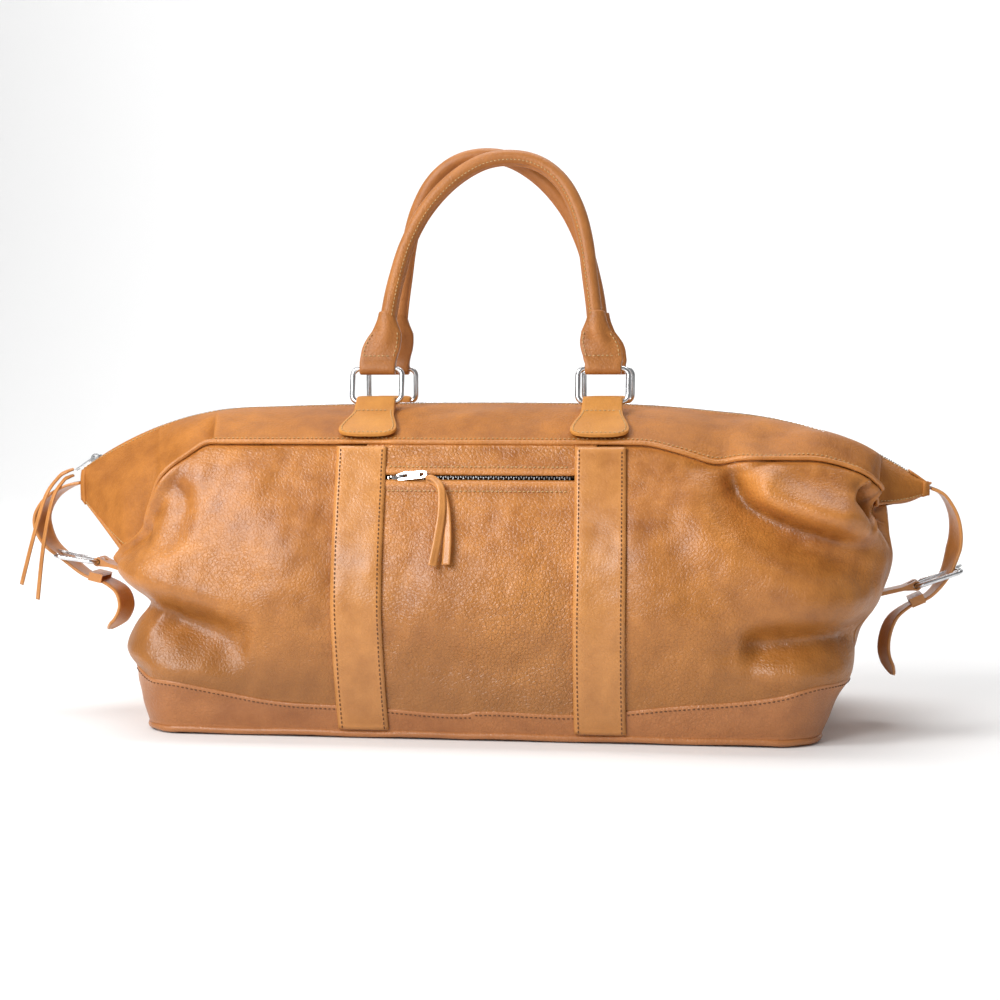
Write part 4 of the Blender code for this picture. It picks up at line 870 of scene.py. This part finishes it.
def build_chape(face, sign, side, x):
    """Bell-shaped leather that folds round the ring's lower bar and is sewn down on the gusset."""
    down = np.array([0.0, sign * math.cos(CHAPE_SLOPE), -math.sin(CHAPE_SLOPE)])
    up = np.array([0.0, sign * math.sin(CHAPE_SLOPE), math.cos(CHAPE_SLOPE)])
    bar = np.array([x, sign * BAR_Y, BAR_Z])
    s, wide, deep = smooth_line(BELL, 76).T
    sink = -0.0029 * np.clip((s - 0.001) / 0.012, 0, 1) ** 0.9
    sink = sink - 0.0012 * np.clip((s - 0.03) / 0.022, 0, 1)
    centres = bar + s[:, None] * down + sink[:, None] * up
    chape = loft(f"chape_leather_{face}_{side}", centres, wide, deep, WIDE, up, 7.0, CHAPE, "bag", wide * 0)
    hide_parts(f"chape_{face}_{side}")
    pick = (s > 0.0125) & (s < CHAPE_SEAM_END)
    arc_s = np.append(s[pick], CHAPE_SEAM_END)
    arc_w = np.append(np.maximum(wide[pick] - 0.0024, 0.0), 0.0)
    along = np.append(arc_s, arc_s[::-1])
    across = np.append(-arc_w, arc_w[::-1])
    lift = np.interp(along, s, sink) + np.interp(along, s, deep)
    level = np.linspace(-0.013, 0.013, 20)
    at = np.argmin(np.abs(s - 0.0135))
    rows = [bar + along[:, None] * down + across[:, None] * WIDE + lift[:, None] * up,
            centres[at] + level[:, None] * WIDE + deep[at] * up]
    stitches(f"stitches_chape_{face}_{side}", [(row, np.tile(up, (len(row), 1))) for row in rows])


def zip_teeth(name, line, normals, body="bag", pitch=0.0019):
    """Interlocked metal teeth along a line, each a small chamfered block."""
    travel = travel_along(line)
    along_all = frames_along(line)
    points, faces = [], []
    for k in range(int(travel[-1] / pitch)):
        at = (k + 0.5) * pitch
        place, normal, along = (np.array([np.interp(at, travel, a[:, i]) for i in range(3)])
                                for a in (line, normals, along_all))
        across = np.cross(normal, along)
        shift = 0.00065 if k % 2 else -0.00065
        base = len(points)
        for height, grow in ((-0.0007, 1.0), (0.0005, 1.0), (0.0009, 0.62)):
            for a, b in ((-1, -1), (1, -1), (1, 1), (-1, 1)):
                points.append(tuple(place + along * a * 0.00062 * grow + across * (shift + b * 0.0016 * grow)
                                    + normal * height))
        faces += (quads_of(3, 4, closed=True) + base).tolist()
        faces += [(base + 8, base + 9, base + 10, base + 11), (base + 3, base + 2, base + 1, base)]
    mesh = bpy.data.meshes.new(name)
    mesh.from_pydata(points, [], faces)
    make_object(name, mesh, NICKEL, body)


def ribbon(name, points, widths, facing, thickness, body):
    """A flat leather strip along points. facing is the direction its broad side turns to."""
    along = frames_along(points)
    facing = unit(facing - along * np.sum(facing * along, axis=1, keepdims=True))
    spread = widths[:, None] / 2 * np.linspace(-1, 1, 5)
    rows = points[:, None] + np.cross(along, facing)[:, None] * spread[..., None]
    return grid(name, rows + facing[:, None] * (thickness / 2), STRAP, body, thickness)


# Legs of the doubled thongs: the main one in x, y, z, the pocket one in x, z and height off the leather.
MAIN_THONG = [
    [(-0.3482, 0.0, 0.1935), (-0.353, -0.003, 0.1915), (-0.359, -0.006, 0.187), (-0.366, -0.017, 0.172),
     (-0.375, -0.021, 0.14), (-0.386, -0.021, 0.1)],
    [(-0.3482, 0.0, 0.1885), (-0.3515, -0.003, 0.187), (-0.355, -0.006, 0.184), (-0.36, -0.017, 0.17),
     (-0.3665, -0.021, 0.135), (-0.3725, -0.021, 0.088)],
]
POCKET_THONG = [
    [(-0.0385, 0.193, 0.0085), (-0.0345, 0.1935, 0.0098), (-0.03, 0.1905, 0.009), (-0.0262, 0.184, 0.0085),
     (-0.025, 0.168, 0.008), (-0.0268, 0.148, 0.0075), (-0.0295, 0.13, 0.007)],
    [(-0.0385, 0.191, 0.0052), (-0.0345, 0.1905, 0.0054), (-0.029, 0.187, 0.0056), (-0.0245, 0.18, 0.0057),
     (-0.0215, 0.168, 0.0058), (-0.0195, 0.15, 0.0056), (-0.0195, 0.131, 0.0056)],
]


def build_zips():
    x = np.linspace(-TIP_X + 0.003, TIP_X - 0.003, 300)
    line = np.stack([x, x * 0, ridge_height(x) + 0.0002], axis=1)
    along = frames_along(line)
    zip_teeth("main_zip_teeth", line, np.stack([-along[:, 2], x * 0, along[:, 0]], axis=1))
    for name, edges in (("front", (-0.0112, -0.001)), ("back", (0.001, 0.0112))):
        xs, y = np.meshgrid(x, np.linspace(*edges, 4))
        points = np.stack([xs, y, ridge_height(xs) + 0.0001 - 0.0008 * np.abs(y) / 0.011], axis=-1)
        tape = grid(f"main_tape_{name}", points, TAPE, thickness=0.001)
        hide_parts(f"main_zip_tape_{name}")
    row = place_on_face(np.linspace(-0.07, 0.07, 80), 0.193, -0.0032)
    zip_teeth("pocket_zip_teeth", row, np.tile(FACE_OUT, (80, 1)))
    along = np.linspace(0, 1, 60)
    for k, leg in enumerate(MAIN_THONG):
        width = np.interp(along, [0, 0.2, 1], [0.002, 0.0028, 0.0036])
        facing = np.tile([-0.35, -0.85, 0.35], (60, 1))
        ribbon(f"main_thong_leg_{k}", smooth_line(leg, 60), width, facing, 0.0012, "main_thong")
    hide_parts("main_zip_thong")
    for k, leg in enumerate(POCKET_THONG):
        points = np.array([place_on_face(px, pz, out) for px, pz, out in smooth_line(leg, 60)])
        width = np.interp(along, [0, 0.15, 0.4, 1], [0.0022, 0.004, 0.0052, 0.0064])
        facing = np.tile([0.25 - 0.5 * k, -0.97, 0.0], (60, 1))
        ribbon(f"pocket_thong_leg_{k}", points, width, facing, 0.0014, "pocket_pull")
    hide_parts("pocket_zip_thong")


# Routes of the end straps in x and z, from the wing through the buckle to the free tip.
LEFT_ROUTE = [
    (-0.3395, 0.181), (-0.352, 0.178), (-0.367, 0.168), (-0.3745, 0.152), (-0.368, 0.134),
    (-0.352, 0.1205), (-0.336, 0.1085), (-0.32, 0.1035), (-0.3075, 0.095), (-0.3035, 0.082),
    (-0.308, 0.07), (-0.318, 0.061),
]
RIGHT_ROUTE = [
    (0.3395, 0.181), (0.349, 0.176), (0.3565, 0.162), (0.3585, 0.146), (0.356, 0.131),
    (0.35, 0.1145), (0.339, 0.1005), (0.324, 0.0925), (0.312, 0.0825), (0.306, 0.068),
    (0.3055, 0.052), (0.312, 0.036),
]
BUCKLES = {"left": ((-0.326, 0.118), (-0.361, 0.123)), "right": ((0.33, 0.107), (0.3635, 0.119))}


def build_end_straps():
    for name, route, side in (("left", LEFT_ROUTE, -1), ("right", RIGHT_ROUTE, 1)):
        line = smooth_line(route, 120)
        travel = travel_along(line)
        left_over = travel[-1] - travel
        half = np.maximum(0.01 * np.clip(left_over / 0.009, 0, 1) ** 0.5, 0.0012)
        step = frames_along(line)
        out = np.stack([-step[:, 1], step[:, 0]], axis=1) * side
        twist = side * np.radians(np.interp(travel / travel[-1], [0, 0.1, 0.3, 0.5, 0.62, 0.75, 1],
                                            [0, 6, 24, 6, 0, 14, 22]))
        normal = np.stack([out[:, 0], out[:, 0] * 0, out[:, 1]], axis=1)
        across = np.stack([-np.sin(twist), np.cos(twist), twist * 0], axis=1)
        centre = np.stack([line[:, 0], line[:, 0] * 0, line[:, 1]], axis=1)
        u = np.linspace(-1, 1, 11)[:, None]
        points = (centre[:, None] + normal[:, None] * (0.0011 - 0.0005 * u ** 2)
                  + across[:, None] * half[:, None, None] * u)
        strap = grid(f"end_strap_leather_{name}", points, STRAP, thickness=0.0022, flip=side < 0)
        strap.data.materials.append(SUEDE)
        shell = strap.modifiers["Thickness"]
        shell.material_offset = 1
        shell.material_offset_rim = 0
        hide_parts(f"end_strap_{name}")
        inset = np.maximum(half - 0.0026, 0.001)[:, None]
        keep = left_over > 0.004
        stitches(f"stitches_end_strap_{name}", [
            ((points[:, 5] + edge * inset * across + normal * 0.0001)[keep], normal[keep])
            for edge in (-1, 1)])
        inner, outer = (np.array([x, 0, z]) for x, z in BUCKLES[name])
        reach = np.linalg.norm(outer - inner)
        flat = rounded_route(0.014, 0.0, reach, 0.0055)
        wire = inner + flat[:, :1] * np.array([0, 1.0, 0]) + flat[:, 1:] * (outer - inner) / reach
        frame_wire = round_line(f"buckle_wire_{name}", wire, 0.0018, NICKEL, cyclic=True, sides=5)
        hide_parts(f"buckle_frame_{name}")


# Materials of the nodes that are shown as they are.
CARRIED = (
    (BASE, "base_panel"), (BOARD, "base_board"), (LINING, "pocket_bag"),
    (TAPE, "pocket_zip_tape_upper", "pocket_zip_tape_lower"),
    (ROPE, "handle_core_front", "handle_core_back"),
    (NICKEL, "main_zip_slider", "main_zip_pull", "pocket_zip_slider", "pocket_zip_pull", "buckle_prong_left",
     "buckle_prong_right"),
    (STRAP, "buckle_chape_left", "buckle_chape_right", "keeper_left", "keeper_right"),
)


def finish_carried():
    for material, *names in CARRIED:
        for name in names:
            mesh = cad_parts[name].data
            mesh.materials.clear()
            mesh.materials.append(material)


def area_light(name, place, target, size, power):
    lamp = bpy.data.lights.new(name, "AREA")
    lamp.shape = "RECTANGLE"
    lamp.size = lamp.size_y = size
    lamp.energy = power
    item = bpy.data.objects.new(name, lamp)
    item.location = place
    item.rotation_euler = (Vector(target) - Vector(place)).to_track_quat("-Z", "Y").to_euler()
    bpy.context.scene.collection.objects.link(item)


def build_stage():
    """A pale paper floor that sweeps up behind the bag."""
    flat = [(-4.0 + 6.5 * i / 39 / 0.6, 0.0) for i in range(24)]
    turns = [(i / 39 - 0.6) / 0.4 * math.pi / 2 for i in range(24, 40)]
    rows = flat + [(2.5 + 1.5 * math.sin(turn), 1.5 * (1 - math.cos(turn))) for turn in turns] + [(4.0, 6.0)]
    points = [(x, y, z - 0.0002) for y, z in rows for x in (-6, 6)]
    faces = [(2 * i, 2 * i + 1, 2 * i + 3, 2 * i + 2) for i in range(len(rows) - 1)]
    floor = bpy.data.objects.new("floor", make_mesh("floor", points, faces))
    bpy.context.scene.collection.objects.link(floor)
    paper = Nodes("pale_paper")
    paper.wire((0.9, 0.9, 0.9, 1), "Base Color")
    paper.wire(0.9, "Roughness")
    paper.wire(0.1, "Specular IOR Level")
    floor.data.materials.append(paper.material)


def build_light():
    world = bpy.data.worlds.new("studio")
    world.use_nodes = True
    sky = world.node_tree.nodes["Background"]
    sky.inputs["Color"].default_value = (1.0, 1.0, 1.0, 1.0)
    sky.inputs["Strength"].default_value = 0.25
    bpy.context.scene.world = world
    area_light("sheen", (-0.95, -1.9, 1.05), (-0.12, 0, 0.12), 0.8, 24)
    area_light("key", (-1.35, -1.15, 1.65), (-0.15, 0, 0.12), 0.7, 27)
    area_light("fill", (1.6, -2.2, 1.2), (0, 0, 0.12), 1.6, 1.2)
    area_light("top", (-0.3, 0.1, 2.2), (-0.1, 0, 0.1), 0.9, 5)
    area_light("backdrop_light", (0, 1.2, 3.2), (0, 3.8, 0.6), 3.0, 115)


def build_camera():
    lens = bpy.data.cameras.new("camera")
    lens.lens = 64.05
    lens.sensor_width = 36
    camera = bpy.data.objects.new("camera", lens)
    target = Vector((0.0045, 0.0, 0.1707))
    turn, rise, distance = math.radians(7.0), math.radians(3.53), 1.42
    camera.location = target + Vector((math.sin(turn) * math.cos(rise), -math.cos(turn) * math.cos(rise),
                                       math.sin(rise))) * distance
    camera.rotation_euler = (target - camera.location).to_track_quat("-Z", "Y").to_euler()
    bpy.context.scene.collection.objects.link(camera)
    bpy.context.scene.camera = camera
    bpy.context.scene.view_settings.view_transform = "Standard"


build_camera()
build_walls()
build_base()
build_gussets()
build_tucks()
build_zip_end()
build_top_piping()
build_straps()
build_handles()
build_zips()
build_end_straps()
finish_carried()
build_stage()
build_light()

bpy.context.view_layer.update()
